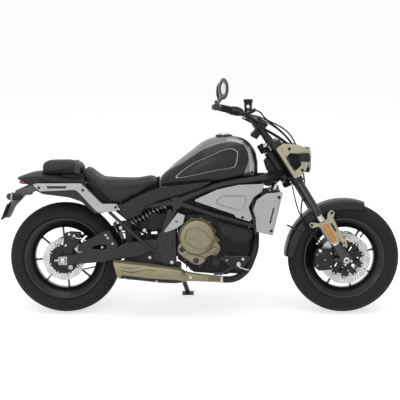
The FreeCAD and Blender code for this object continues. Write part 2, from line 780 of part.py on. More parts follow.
def make_front_guard():
    """Mudguard: an arched sheet with turned-down skirts, round the tyre."""
    body = new_body("FrontGuard")
    outer = S.tyre_radius + S.guard_gap + S.guard_wall
    inner = S.tyre_radius + S.guard_gap
    half = S.guard_width / 2
    low = outer - S.guard_skirt
    wall = S.guard_wall
    crown = half * 0.45
    section = [(-half, low), (-half + wall, low), (-half + wall, inner - 20), (-crown, inner),
               (crown, inner), (half - wall, inner - 20), (half - wall, low), (half, low),
               (half, inner - 18), (crown, outer), (-crown, outer), (-half, inner - 18)]
    revolve(body, sketch(body, "YZ_Plane", [section]), "H_Axis", S.guard_sweep)
    place(body, front_x, 0, axle_z, (0, 1, 0), 90 - S.guard_start - S.guard_sweep)
    bosses = []
    for number, (forward, up) in enumerate(GUARD_MOUNTS):
        for side in (-1, 1):
            x, z = on_fork(forward, up)
            bosses.append(bar("GuardBoss%d%d" % (number, side + 1), (x, side * (half - 1), z),
                              (x, side * (S.leg_out + 12 - S.fit_gap), z), 7))
    sub_part("front_mudguard", fuse("GuardWhole", body, *bosses))


# Where the mudguard bolts to the fork brackets: ahead of the legs, above the axle
GUARD_MOUNTS = [(66, 268), (-60, 266)]


def make_front_brakes():
    block = plate("FrontCaliper", drawn(CALIPER, front_x - 170, axle_z - 62, 104, 122),
                  S.front_disc_out - 8, 48, 10, 4)
    reach = S.front_disc_radius + 3
    gap = plate("FrontCaliperGap", drawn(SQUARE, front_x - reach, axle_z - reach, reach * 2,
                reach * 2), S.front_disc_out - 1.5, S.disc_thick + 3)
    right = cut("FrontCaliperRight", block, gap)
    sub_part("front_calipers", right, mirrored(right))


CALIPER = [(0, 20), (24, 0), (90, 6), (104, 34), (104, 112), (80, 122), (16, 118), (0, 90)]
SQUARE = [(0, 0), (1, 0), (1, 1), (0, 1)]


def make_mirrors():
    """Round mirrors on stalks that stand on the bar beside the grips' outer ends."""
    x, z = on_fork(-95, S.bar_up + 252)
    out = S.bar_half_width - 8
    body = new_body("Mirror")
    thick = S.mirror_thick
    wide = S.mirror_radius
    dome = [(zero, zero), (thick, zero), (thick * 0.9, wide * 0.6), (thick * 0.55, wide * 0.93),
            (thick * 0.2, wide), (zero, wide)]
    revolve(body, sketch(body, "XZ_Plane", [dome]))
    place(body, x, -out, z, (0, 0, 1), 24)
    stalk = tube("MirrorStalk", [spot((-153.6, -out + 5.5, S.bar_up + 201.8)),
                 spot((-143, -out + 5.5, S.bar_up + 212)), (x + 6, -out - 2, z - 44)], 6)
    right = fuse("MirrorRight", body, stalk)
    sub_part("mirrors", right, mirrored(right))


def make_dash():
    outline = [(-90, 846), (-70, 812), (26, 848), (10, 884)]
    body = new_body("Dash")
    half = S.riser_out - S.riser_radius - S.fit_gap
    pad(body, sketch(body, "XZ_Plane", [drawn(outline, -88, S.bar_up - 76, S.dash_length + 6,
        S.dash_height + 30)], -half), half * 2)
    on_front_axle(body, True)
    sub_part("dash", body)


def make_hand_controls():
    """Switch housings, brake and clutch levers, and the round fluid reservoir."""
    pieces = []
    for side in (-1, 1):
        a, b = spot((-66, 212 * side, S.bar_up + 92)), spot((-169, S.bar_half_width * side,
                                                             S.bar_up + 192))
        a = Vector(*[value_of(number) for number in a])
        b = Vector(*[value_of(number) for number in b])
        way = (b - a).normalize()
        housing = bar("Housing%d" % side, tuple(a + way * 36), tuple(a + way * 74), 23)
        hole = bar("HousingHole%d" % side, tuple(a - way * 20), tuple(b), S.bar_radius + S.fit_gap)
        forward = Vector(math.cos(math.radians(10)), 0, -math.sin(math.radians(10)))
        pivot = a + way * 28 + forward * 44
        mount = bar("LeverMount%d" % side, tuple(a + way * 20), tuple(a + way * 48), 20)
        clamp_ring = cut("Ring%d" % side, fuse("Rings%d" % side, housing, mount), hole)
        arm = bar("LeverArm%d" % side, tuple(a + way * 28 + forward * 24), tuple(pivot), 8)
        knuckle = pivot - way * 9
        tip = pivot + way * 150 + forward * 6
        lever = bar("Lever%d" % side, tuple(knuckle), tuple(tip), 6)
        whole = [clamp_ring, arm, lever]
        if side < 0:
            cup = pivot - way * 14 + Vector(0, 0, 1)
            whole.append(bar("Reservoir", tuple(cup), tuple(cup + Vector(0, 0, 66)), 21))
        pieces.append(fuse("Controls%d" % side, *whole))
    sub_part("hand_controls", *pieces)


HOSE_ROUTE = [(256.4, -223, 1120), (290, -214, 1116), (318, -176, 1070), (405, -146, 1034),
              (466, -114, 984), (500, -88, 912), (522, -82, 834), (540, -78, 762),
              (544, -76, 690), (528, -80, 622), (522, -90, 556), (548, -98, 480),
              (596, -98, 430), (640, -88, 412), (640, -82, 365.5)]


def make_hose():
    """Brake hose from the master cylinder down to the right caliper."""
    hose = tube("BrakeHose", HOSE_ROUTE, S.hose_radius)
    sub_part("brake_hose", hose)


# Frame: a tubular diamond with plates at the swingarm pivot
def make_frame():
    out = S.frame_out
    high = on_fork(-S.fork_offset, S.lower_clamp_up + S.clamp_thick + 52)
    low = on_fork(-S.fork_offset, S.lower_clamp_up + S.clamp_thick + 30)
    beam_out = S.frame_out + S.frame_tube_radius - S.beam_radius
    upper = tube("UpperTube", [(low[0], -20, low[1] + 20), (330, -96, 752),
                 (262, -beam_out, 746)], S.frame_tube_radius, 60)
    beam = tube("BeamTube", [(334, -96, 752), (262, -beam_out, 746), (170, -beam_out, 735),
                (76, -beam_out, 716), (-6, -beam_out, 689), (-110, -beam_out, 648),
                (-150, -beam_out, 622)], S.beam_radius, [120, 400, 400, 500, 200])
    rear_rail = tube("RearRail", [(-150, -out + 4, 622), (-330, -out + 18, 602),
                     (-540, -out + 28, 604)], S.frame_tube_radius, 60)
    knuckle = bar("FrameKnuckle", (-150, -out - S.frame_tube_radius + 1, 622),
                  (-150, -out + 22, 622), S.knuckle_radius)
    spine = tube("SpineTube", [(high[0], -14, high[1]), (200, -45, 714), (-40, -70, 668),
                 (-150, -80, 630)], S.frame_tube_radius, 60)
    lower = tube("LowerTube", [(-150, -out, 622), (64, -out, 553), (268, -out, 498)],
                 S.frame_tube_radius, 400)
    down = tube("DownTube", [(320, -100, 745), (262, -out, 640), (262, -out, 560),
                (277, -out, 500), (277, -out, 455)], S.frame_tube_radius, 50)
    rear = tube("SeatTube", [(-150, -out, 622), (-168, -out, 560), (-190, -out, 470)],
                S.frame_tube_radius, 120)
    side = pivot_plate_out
    pivot = plate("PivotPlate", drawn(PIVOT_PLATE, -279, 286, 128, 300), side,
                  S.pivot_plate_thick, 10, 2)
    cap = bar("PivotCap", (S.pivot_forward, -side - S.pivot_plate_thick - 6, S.pivot_height),
              (S.pivot_forward, -side, S.pivot_height), 24)
    far = -side - S.strut_radius - S.running_gap
    inside_rail = -S.rail_out + S.strut_radius + S.running_gap
    strut = tube("Strut", [(-534, -out + 27, 602), (-513, inside_rail, 567), (-404, far, 471),
                 (-243, far, 333)], S.strut_radius, 40)
    gusset = plate("HeadGusset", HEAD_GUSSET, S.headstock_radius * -0.7,
                   S.headstock_radius * 1.4, 8)
    mounts = [bar("EngineEar", (262, -out, 566), (262, -98, 566), 7),
              bar("EngineMount", (262, -98, 566), (245.2, -98, 566), 6),
              bar("RadiatorMount", (262, -out, 600), (340.3, -out, 600), 7),
              bar("SeatRest", (-452, -out + 23, 606), (-452, -out + 23, 623.8), 9),
              bar("TailStay", (-536, -out + 36, 604), (-660, -out + 36, 690), 10),
              bar("TailPad", (-610, -out + 36, 655), (-610, -S.tail_half_width + 6 + S.fit_gap,
                  655), 8),
              bar("TankMount", (tank_rest_x, -out + 16, 702), (tank_rest_x, -out + 16,
                  S.tank_base + S.tank_height * 0.15 - S.fit_gap * 4), 8)]
    right = fuse("FrameRight", upper, beam, rear_rail, knuckle, spine, lower, down, rear, pivot,
                 cap, strut, *mounts)
    left = mirrored(right)
    start, end = on_fork(-S.fork_offset, S.lower_clamp_up + S.clamp_thick + S.headstock_gap), \
        on_fork(-S.fork_offset, S.upper_clamp_up - S.headstock_gap)
    head = bar("Headstock", (start[0], 0, start[1]), (end[0], 0, end[1]), S.headstock_radius)
    crossings = []
    for number, (x, z, reach) in enumerate(CROSS_TUBES):
        crossings.append(bar("Crossing%d" % number, (x, -out + 28, z), (x, out - 28, z), reach))
    crossings.append(bar("PivotShaft", (S.pivot_forward, -side, S.pivot_height),
                         (S.pivot_forward, side, S.pivot_height), 10))
    whole = fuse("FrameWhole", right, left, head, gusset, *crossings)
    bore = fork_bar("HeadstockBore", -S.fork_offset, 0, S.lower_clamp_up, S.upper_clamp_up + 40,
                    S.stem_radius + S.fit_gap)
    sub_part("frame", cut("FrameBored", whole, bore))


CROSS_TUBES = [(-150, 622, 16), (-532, 604, 11)]
PIVOT_PLATE = [(-172, 586), (-152, 480), (-150, 392), (-146, 287), (-206, 287), (-262, 320),
               (-270, 352), (-240, 388), (-250, 431), (-225, 475), (-192, 586)]
HEAD_GUSSET = [(318, 762), (414, 772), (418, 744), (394, 718), (352, 702), (318, 712)]


# Engine: crankcase, leaning cylinders and their covers
def make_engine():
    case = plate("Crankcase", drawn(CRANKCASE, -148, 226, 394, 330), -S.crankcase_out,
                 S.crankcase_out * 2, 18)
    block = plate("Cylinders", drawn(CYLINDERS, 24, 520, 222, 128), -S.cylinder_out + 20,
                  (S.cylinder_out - 20) * 2, 14)
    room = S.engine_pulley_radius + 11
    recess = plate("PulleyRecess", drawn(SQUARE, pulley_x - room, pulley_z - room - 3, room * 2,
                   room * 2 + 7), -S.crankcase_out - 10,
                   S.crankcase_out + 10 - S.belt_out + S.belt_width / 2 + 6)
    sub_part("engine", cut("EngineOpen", fuse("EngineWhole", case, block), recess))
    cover = new_body("ClutchCover")
    profile = sketch(cover, "XZ_Plane", [], S.crankcase_out)
    circle(profile, S.clutch_forward, S.clutch_height, S.clutch_radius)
    pad(cover, profile, S.clutch_thick)
    skirt = plate("ClutchSkirt", drawn(CLUTCH_SKIRT, -146, 284, 234, 170), S.crankcase_out,
                  S.clutch_thick - 22, 12, 6)
    boss = plate("ClutchBoss", drawn(CLUTCH_BOSS, -96, 368, 150, 126),
                 S.crankcase_out + S.clutch_thick, 10, 14, 4)
    cap = bar("OilCap", (54, -S.crankcase_out - S.clutch_thick + 8, 362),
              (54, -S.crankcase_out, 362), 20)
    sub_part("clutch_cover", fuse("ClutchCoverWhole", cover, skirt, boss, cap))
    left = new_body("AlternatorCover")
    profile = sketch(left, "XZ_Plane", [], -S.crankcase_out - S.clutch_thick + 20)
    circle(profile, 62, 404, 84)
    pad(left, profile, S.clutch_thick - 20)
    sub_part("alternator_cover", left)
    side = plate("SideCover", drawn(SIDE_COVER, 64, 396, 196, 127), S.crankcase_out,
                 S.side_cover_thick, 12, 5)
    sub_part("engine_side_cover", side)
    sub_part("pulley_cover", plate("PulleyCover", PULLEY_COVER, -S.crankcase_out - S.fit_gap - 14,
             14, 8, 4))
    rest = 556 + S.fit_gap
    outline = [(-136, rest), (33, rest), (56, 640), (48, 652), (-20, 652), (-136, 606)]
    sub_part("intake_box", plate("IntakeBox", outline, S.intake_box_width / -2,
             S.intake_box_width, 5))


CRANKCASE = [(-148, 312), (-148, 500), (-126, 556), (60, 556), (240, 500), (246, 352), (206, 272),
             (120, 226), (-60, 240), (-114, 288)]
CYLINDERS = [(24, 520), (60, 648), (242, 648), (246, 520)]
CLUTCH_SKIRT = [(-146, 372), (-146, 354), (-110, 323), (-60, 290), (-30, 284), (2, 304),
                (8, 328), (88, 362), (80, 384), (52, 454), (-100, 454)]
CLUTCH_BOSS = [(-96, 470), (-70, 494), (-30, 492), (54, 400), (20, 368), (-96, 430)]
SIDE_COVER = [(64, 523), (260, 476), (256, 432), (228, 396), (150, 396), (124, 428), (80, 436)]
PULLEY_COVER = [(-140, 326), (-60, 326), (-52, 400), (-58, 470), (-140, 470)]


def make_tank():
    tank = loft("Tank", TANK, S.tank_back, S.tank_base, S.tank_length, S.tank_height,
                S.tank_half_width)
    x = S.tank_back + S.tank_length * 0.655
    z = S.tank_base + S.tank_height + 6
    well = bar("NeckWell", (x, 0, z - 24 - S.fit_gap), (x, 0, z + 10), S.cap_radius + S.fit_gap)
    sub_part("fuel_tank", cut("TankOpen", tank, well))
    cap = new_body("FuelCap")
    cap_face = [(zero, zero), (S.cap_radius, zero), (S.cap_radius, S.cap_height * 0.5),
                (S.cap_radius * 0.8, S.cap_height), (zero, S.cap_height)]
    revolve(cap, sketch(cap, "XZ_Plane", [cap_face]), "V_Axis")
    place(cap, x, 0, z)
    sub_part("fuel_cap", cap)
    neck = bar("CapNeck", (x, 0, z - 24), (x, 0, z - S.fit_gap), S.cap_radius)
    sub_part("filler_neck", neck)


# Share of length; underside, shoulder and top as shares of height; half widths as shares
TANK = [(0.00, 0.01, 0.08, 0.19, 0.44, 0.50), (0.15, 0.02, 0.16, 0.46, 0.60, 0.70),
        (0.31, 0.05, 0.30, 0.70, 0.74, 0.88), (0.47, 0.10, 0.46, 0.92, 0.82, 0.98),
        (0.65, 0.15, 0.52, 1.00, 0.84, 1.00), (0.81, 0.21, 0.54, 0.98, 0.78, 0.95),
        (0.91, 0.23, 0.50, 0.88, 0.68, 0.82), (0.975, 0.23, 0.44, 0.71, 0.56, 0.66),
        (1.00, 0.24, 0.40, 0.56, 0.46, 0.54)]
RIDER_SEAT = [(0.00, 0.70, 0.84, 0.99, 0.72, 0.78), (0.20, 0.34, 0.52, 0.66, 0.96, 1.00),
              (0.33, 0.10, 0.46, 0.62, 0.98, 1.00), (0.50, 0.02, 0.42, 0.605, 0.96, 1.00),
              (0.72, 0.14, 0.44, 0.61, 0.84, 0.90), (0.90, 0.36, 0.52, 0.67, 0.70, 0.76),
              (1.00, 0.44, 0.54, 0.63, 0.58, 0.64)]
PILLION = [(0.00, 0.00, 0.40, 0.72, 0.86, 0.94), (0.06, 0.00, 0.52, 0.94, 0.88, 0.98),
           (0.40, 0.00, 0.60, 1.00, 0.90, 1.00), (0.80, 0.00, 0.56, 0.96, 0.86, 0.95),
           (1.00, 0.00, 0.30, 0.60, 0.76, 0.84)]
TAIL = [(0.00, 0.30, 0.44, 0.52, 0.36, 0.40), (0.16, 0.00, 0.55, 0.80, 0.60, 0.66),
        (0.36, 0.00, 0.60, 0.96, 0.80, 0.86), (0.50, 0.00, 0.55, 0.90, 0.88, 0.94),
        (1.00, 0.00, 0.50, 0.72, 0.94, 1.00)]


def make_seats():
    seat = loft("RiderSeat", RIDER_SEAT, seat_rear, 620, S.seat_length, S.seat_height,
                S.seat_half_width)
    sub_part("rider_seat", seat)
    pillion_back = seat_rear - 12 - S.pillion_length
    pillion_base = tail_base + S.tail_height * 0.71
    sub_part("passenger_seat", loft("Pillion", PILLION, pillion_back, pillion_base + S.fit_gap,
             S.pillion_length, S.pillion_height, S.pillion_half_width))
    tail_back = seat_rear - S.fit_gap - S.tail_length
    tail = loft("Tail", TAIL, tail_back, tail_base, S.tail_length, S.tail_height,
                S.tail_half_width)
    half = S.lamp_width / 2
    gap = S.fit_gap
    room = plate("TailLampRoom", [(tail_back - 20, tail_base - 20),
                 (tail_back + S.lamp_length + gap, tail_base - 20),
                 (tail_back + S.lamp_length + gap, tail_base + S.lamp_height + gap),
                 (tail_back - 20, tail_base + 15 + S.lamp_height + gap)], -half - gap,
                 half * 2 + gap * 2)
    shelf = plate("PillionRoom", [(pillion_back - 1, pillion_base), (seat_rear + 20, pillion_base),
                  (seat_rear + 20, pillion_base + 60), (pillion_back - 1, pillion_base + 60)],
                  -S.tail_half_width * 1.5, S.tail_half_width * 3)
    floor = plate("TailFloor", [(tail_back - 20, tail_base - 60), (seat_rear + 20, tail_base - 60),
                  (seat_rear + 20, zero + tail_base), (tail_back - 20, zero + tail_base)],
                  -S.tail_half_width * 1.5, S.tail_half_width * 3)
    shaped = cut("TailShaped", tail, fuse("TailRooms", room, shelf, floor))
    skirt = plate("TailSkirt", drawn(TAIL_SKIRT, -909, 562, 356, 166), S.tail_half_width - 6,
                  S.skirt_thick, 5)
    sub_part("tail_cowl", fuse("TailWhole", shaped, skirt, mirrored(skirt)))
    lamp = new_body("TailLamp")
    strip = [(tail_back - 2, 722), (tail_back + S.lamp_length, zero + tail_base),
             (tail_back + S.lamp_length, tail_base + S.lamp_height),
             (tail_back + 2, 724 + S.lamp_height)]
    pad(lamp, sketch(lamp, "XZ_Plane", [strip], -half), S.lamp_width)
    sub_part("tail_lamp", lamp)
    rail = plate("SideRail", drawn(SIDE_RAIL, -927, 567, 464, 160), S.rail_out, S.rail_thick, 8, 3)
    boss = bar("RailBoss", (-481, -S.rail_out - 2, 598), (-481, -S.frame_out + 24.5 -
               S.frame_tube_radius - S.fit_gap, 598), 10)
    rail = fuse("RailWhole", rail, boss)
    sub_part("side_rails", rail, mirrored(rail))
    hanger = plate("Hanger", HANGER, -28, 56, 6)
    sub_part("plate_hanger", hanger)
    lamps = [bar("RearIndicator%d" % side, (-1044, 32 * side, 640), (-1070, 150 * side, 640), 15)
             for side in (-1, 1)]
    sub_part("rear_indicators", *lamps)
    blank = doc.addObject("Part::Box", "PlateBlank")
    give(blank, Length=S.plate_thick, Width=S.plate_width, Height=S.plate_height)
    blank.Placement = Placement(Vector(-1130.6, -value_of(S.plate_width) / 2, 476.7),
                                Rotation(Vector(0, 1, 0), 22))
    sub_part("number_plate", blank)


TAIL_SKIRT = [(-909, 728), (-909, 684), (-874, 667), (-733, 649), (-668, 626), (-596, 562),
              (-553, 562), (-553, 622), (-660, 728)]
SIDE_RAIL = [(-927, 721), (-902, 727), (-666, 727), (-553, 617), (-474, 617), (-463, 597),
             (-474, 578), (-567, 567), (-590, 580), (-684, 683), (-702, 692), (-889, 683)]
HANGER = [(-860, 715.6), (-860, 700), (-936, 672), (-990, 650), (-1050, 590), (-1084, 520),
          (-1108, 526), (-1072, 613), (-1040, 682), (-990, 704), (-958, 715.6)]


def make_side_covers():
    cover = plate("AirCover", drawn(AIR_COVER, -62, 523, 383, 203), outside_tubes,
                  S.air_cover_thick, 6, 3)
    pegs = [bar("CoverBoss%d" % x, (x, -outside_tubes - 2, z),
                (x, -S.intake_box_width / 2 - S.fit_gap, z), 9) for x, z in COVER_BOSSES]
    cover = fuse("CoverWhole", cover, *pegs)
    sub_part("air_covers", cover, mirrored(cover))
    panel = plate("SidePanel", drawn(SIDE_PANEL, -462, 532, 515, 210), outside_tubes,
                  S.panel_thick, 8, 3)
    bosses = [bar("PanelBoss%d" % -x, (x, -outside_tubes - 2, z),
                  (x, -reach, z), 9) for x, z, reach in PANEL_BOSSES]
    panel = fuse("PanelWhole", panel, *bosses)
    sub_part("side_panels", panel, mirrored(panel))
    shroud = plate("Shroud", drawn(SHROUD, 258, 449, 160, 236),
                   S.radiator_half_width + S.fit_gap, S.shroud_thick, 8, 4)
    sub_part("radiator_shrouds", shroud, mirrored(shroud))
    core = plate("Radiator", drawn(RADIATOR, 300, 458, 112, 230), -S.radiator_half_width,
                 S.radiator_half_width * 2, 3)
    sub_part("radiator", core)


# Where the panels rest on the frame: x, z and the tube's outside
PANEL_BOSSES = [(-345, 602, 124.4), (-420, 603, 121.8)]
# Where the air covers rest on the intake box: x, z
COVER_BOSSES = [(-18, 638), (36, 632)]
AIR_COVER = [(-62, 636), (64, 695), (181, 721), (321, 726), (306, 683), (263, 654), (236, 601),
             (257, 537), (239, 523), (166, 546), (157, 561)]
SIDE_PANEL = [(-402, 640), (-315, 680), (-241, 706), (53, 742), (-26, 704), (-146, 664),
              (-190, 655), (-312, 612), (-352, 560), (-418, 532), (-453, 556), (-462, 600)]
SHROUD = [(325, 675), (418, 685), (365, 449), (277, 470), (272, 542), (258, 589), (277, 642)]
RADIATOR = [(300, 464), (334, 458), (392, 680), (358, 688)]


def make_rear_suspension():
    arm = plate("Arm", drawn(ARM, rear_x - 26, axle_z - 27, S.pivot_forward - rear_x + 51,
                S.pivot_height - axle_z + 55), S.arm_out, S.arm_thick, 6, 3)
    middle_z = (axle_z + S.pivot_height) / 2
    brace = plate("ArmBrace", [drawn(ARM_BRACE, rear_x + 80, middle_z - 3.5, 222, 122),
                               drawn(BRACE_WINDOW, rear_x + 158, middle_z + 18, 80, 26)],
                  S.arm_out + 3, S.arm_thick - 6, 8, 3)
    axle_hole = bar("ArmAxleHole", (rear_x, -300, axle_z), (rear_x, 0, axle_z),
                    S.axle_radius + S.fit_gap)
    right = cut("ArmRight", fuse("ArmAndBrace", arm, brace), axle_hole)
    left_arm = mirrored(right)
    reach = S.arm_out + S.arm_thick / 2
    cross_z = S.pivot_height - 26
    cross = bar("ArmCross", (-412, -reach, cross_z), (-412, reach, cross_z), S.cross_tube_radius)
    pivot = bar("ArmPivotTube", (S.pivot_forward, -reach, S.pivot_height),
                (S.pivot_forward, reach, S.pivot_height), S.cross_tube_radius)
    ears = [plate("ShockEar%d" % side, [(-446, 506), (-410, 506), (-392, cross_z),
                                        (-434, cross_z)], 18.6 * side - 4, 8, 6)
            for side in (-1, 1)]
    whole = fuse("ArmWhole", right, left_arm, cross, pivot, *ears)
    bore = bar("ArmPivotBore", (S.pivot_forward, -300, S.pivot_height),
               (S.pivot_forward, 300, S.pivot_height), 10 + S.fit_gap)
    sub_part("swingarm", cut("ArmBored", whole, bore))
    shock = bar("ShockBody", (-382, 0, 521), (-166, 0, 618), S.shock_radius)
    rod = bar("ShockRod", (-428, 0, 486), (-380, 0, 521), 11)
    eye = bar("ShockEye", (-428, -14.2, 486), (-428, 14.2, 486), 16)
    sub_part("shock_absorber", fuse("ShockWhole", shock, rod, eye))
    block = plate("RearCaliper", drawn(REAR_CALIPER, rear_x - 2, 368, 100, 92),
                  S.rear_disc_out - 20, 46, 10, 4)
    reach = S.rear_disc_radius + 3
    gap = plate("RearCaliperGap", drawn(SQUARE, rear_x - reach, axle_z - reach, reach * 2,
                reach * 2), S.rear_disc_out - 1.5, S.disc_thick + 3)
    carrier = plate("RearCaliperCarrier", [(rear_x - 6, 384), (rear_x + 52, 384),
                                           (rear_x + 52, 322), (rear_x + 8, 322)],
                    S.rear_disc_out + S.disc_thick + 9,
                    S.arm_out - S.rear_disc_out - S.disc_thick - 9 - S.fit_gap, 6)
    sub_part("rear_caliper", fuse("RearCaliperWhole", cut("RearCaliperOpen", block, gap), carrier))


def make_inner_guard():
    """Moulded mudguard in front of the rear tyre, with the battery case on its left side."""
    body = new_body("InnerGuard")
    inner = S.tyre_radius + S.inner_guard_gap
    outer = inner + S.inner_guard_wall
    half = S.inner_guard_width / 2
    section = [(-half, inner), (half, inner), (half, outer), (-half, outer)]
    revolve(body, sketch(body, "YZ_Plane", [section]), "H_Axis", S.inner_guard_sweep)
    place(body, rear_x, 0, axle_z, (0, 1, 0), 90 - S.inner_guard_start - S.inner_guard_sweep)
    case = plate("BatteryCase", BATTERY_CASE, -S.battery_case_out - S.battery_case_thick,
                 S.battery_case_thick, 6)
    x, z, radius = CROSS_TUBES[0]
    middle = S.battery_case_out + S.battery_case_thick / 2
    lug = bar("CaseLug", (x, middle, 594), (x, middle, z - radius - S.fit_gap), 8)
    sub_part("inner_mudguard", fuse("InnerGuardWhole", body, case, lug))


BATTERY_CASE = [(-474, 452), (-488, 480), (-470, 500), (-432, 504), (-424, 540), (-380, 600),
                (-140, 600), (-140, 584), (-168, 566), (-168, 470), (-182, 446), (-440, 446)]
ARM = [(-796, 318), (-774, 333), (-733, 335), (-513, 370), (-467, 384), (-421, 406), (-296, 418),
       (-195, 420), (-172, 392), (-195, 364), (-276, 357), (-314, 348), (-363, 327), (-513, 309),
       (-555, 300), (-733, 284), (-776, 280), (-796, 290)]
ARM_BRACE = [(-688, 360), (-690, 384), (-672, 402), (-634, 420), (-547, 465), (-516, 468),
             (-494, 427), (-468, 392), (-484, 366), (-560, 352), (-640, 346)]
BRACE_WINDOW = [(-612, 384), (-560, 394), (-532, 392), (-534, 370), (-560, 368), (-606, 370)]
REAR_CALIPER = [(0, 14), (10, 0), (64, 0), (84, 22), (100, 60), (94, 88), (40, 92), (6, 84)]


def make_exhaust():
    can = loft_pipe("Can", MUFFLER)
    sub_part("muffler", can)
    hanger = plate("MufflerHanger", MUFFLER_BRACKET, S.muffler_bracket_out,
                   S.muffler_bracket_thick, 10)
    boss = bar("MufflerHangerBoss", (-185, -S.muffler_bracket_out - 2, 312),
               (-185, -pivot_plate_out + S.fit_gap, 312), 11)
    sub_part("muffler_bracket", fuse("MufflerBracket", hanger, boss))
    pipes = []
    pipes.append(tube("HeaderRight", [(245.7, -66, 560), (276, -66, 560), (280, -84, 440),
                 (276, -128, 368), (232, -150, 258), (165, -S.muffler_out, 208),
                 (98.6, -S.muffler_out, 208)], S.pipe_radius, [28, 200, 150, 130, 110]))
    pipes.append(tube("HeaderLeft", [(245.7, 40, 560), (276, 40, 560), (280, 20, 440),
                 (280, -40, 352), (236, -104, 258), (176, -146, 214)], S.pipe_radius - 2,
                 [28, 150, 110, 90]))
    sub_part("exhaust_headers", fuse("Headers", *pipes))


# Station: x, centre height, half height, half width
MUFFLER = [(-482, 265, 50, 51), (-354, 252, 47, 52), (-218, 236, 46, 50), (-130, 229, 38, 44),
           (-97, 225, 26, 28), (98, 208, 16.5, 17)]
MUFFLER_BRACKET = [(-436, 262), (-436, 312), (-382, 332), (-366, 350), (-300, 362), (-176, 354),
                   (-166, 330), (-166, 262), (-300, 252)]


def loft_pipe(name, stations):
    body = new_body(name)
    sections = []
    for x, height, half_height, half_width in stations:
        made = body.newObject("Sketcher::SketchObject", name + "Sketch")
        made.AttachmentSupport = [(plane_of(body, "YZ_Plane"), "")]
        made.MapMode = "FlatFace"
        made.AttachmentOffset = Placement(Vector(0, 0, x), Rotation())
        centre = Vector(-value_of(S.muffler_out), height, 0)
        major = centre + Vector(half_width, 0, 0)
        minor = centre + Vector(0, half_height, 0)
        made.addGeometry(Part.Ellipse(major, minor, centre), False)
        sections.append(made)
    made = body.newObject("PartDesign::AdditiveLoft", name + "Loft")
    made.Profile = sections[0]
    made.Sections = sections[1:]
    made.Ruled = True
    body.Tip = made
    return body


def make_feet():
    """Foot pegs and their brackets, with the pedals fixed to them."""
    bracket = plate("PegBracket", drawn(PEG_BRACKET, 96, 262, 152, 82), S.peg_out - 12, 12, 10, 3)
    mount = bar("PegMount", (150, -S.peg_out, 330), (150, -S.crankcase_out - S.fit_gap, 330), 12)
    peg = bar("Peg", (60, -S.peg_out, 326), (60, -S.peg_out - S.peg_length, 326), S.peg_radius)
    link = bar("PegLink", (60, -S.peg_out - 8, 326), (120, -S.peg_out + 4, 330), 10)
    pedal = tube("Pedal", [(180, -S.peg_out - 4, 300), (120, -S.peg_out - 16, 268),
                 (70, -S.peg_out - 60, 262)], 6, 20)
    right = fuse("FootControl", bracket, mount, peg, link, pedal)
    sub_part("foot_controls", right, mirrored(right))


PEG_BRACKET = [(96, 344), (248, 342), (224, 300), (190, 262), (150, 280), (100, 310)]


def make_stand():
    """Side stand: a leg with a flat foot, that turns on a pin under the left pivot plate."""
    top = numbers(S.stand_pivot_forward, S.stand_pivot_out, S.stand_pivot_height)
    ground = ground_under(S.stand_foot_out)
    foot = numbers(S.stand_foot_forward, S.stand_foot_out, ground + 8)
    axis = (foot - top).normalize().cross(Vector(*STAND_FOLDED)).normalize()
    half = axis * value_of(S.stand_radius + 3)
    leg = bar("StandLeg", top, foot, S.stand_radius)
    head = bar("StandHead", top - half, top + half, S.stand_radius + 5)
    sole = doc.addObject("Part::Box", "StandSole")
    give(sole, Length=S.stand_foot_length, Width=44, Height=S.stand_foot_thick)
    corner = numbers(S.stand_foot_forward - S.stand_foot_length / 2, S.stand_foot_out - 22, 0)
    corner.z = ground_under(S.stand_foot_out - 22)
    sole.Placement = Placement(corner, Rotation(Vector(1, 0, 0), value_of(S.lean)))
    solid = fuse("Stand", leg, head, sole)
    hole = bar("StandHole", top - half * 3, top + half * 3, S.stand_pin_radius + S.fit_gap)
    sub_part("side_stand", cut("StandBored", solid, hole))
    inside = half + axis * value_of(S.fit_gap)
    lug = bar("StandLug", top - inside - axis * 34, top - inside, 20)
    pin = bar("StandPin", top - inside - axis * 8, top + inside, S.stand_pin_radius)
    tab = plate("StandTab", [(-206, 262), (-164, 262), (-164, 332), (-206, 332)],
                -pivot_plate_out + S.fit_gap, 9, 6)
    drop = bar("StandDrop", top - inside - axis * 26, numbers(-190, pivot_plate_out - 7, 276), 9)
    sub_part("stand_bracket", fuse("StandBracket", lug, pin, tab, drop))


# Way that the leg points when it is folded back
STAND_FOLDED = (-0.97, 0.12, -0.10)


def ground_under(out):
    """Height of the ground in the upright frame, at a distance out to the left."""
    tilt = math.radians(value_of(S.lean))
    crown = value_of(S.crown_radius)
    return crown + (value_of(out) * math.sin(tilt) - crown) / math.cos(tilt)


def lean_over():
    """Turn every sub-part about the tyres' crown centre line, onto the stand."""
    crown = Vector(0, 0, value_of(S.crown_radius))
    turn = Rotation(Vector(1, 0, 0), -value_of(S.lean))
    shift = Vector(value_of(S.origin_forward), value_of(S.origin_left), 0)
    for part in SUB_PARTS:
        part.Placement = Placement(crown + shift, turn) * Placement(-crown, Rotation())


def check_and_write():
    doc.recompute()
    for thing in doc.Objects:
        if "Invalid" in thing.State or "Error" in thing.State:
            raise RuntimeError("%s failed to build" % thing.Name)
    for part in SUB_PARTS:
        if part.Shape.isNull() or not part.Shape.isValid() or not part.Shape.Solids:
            raise RuntimeError("%s has no sound solid" % part.Label)
    os.makedirs("parts", exist_ok=True)
    for part in SUB_PARTS:
        part.Shape.exportStep("parts/%s.step" % part.Label)


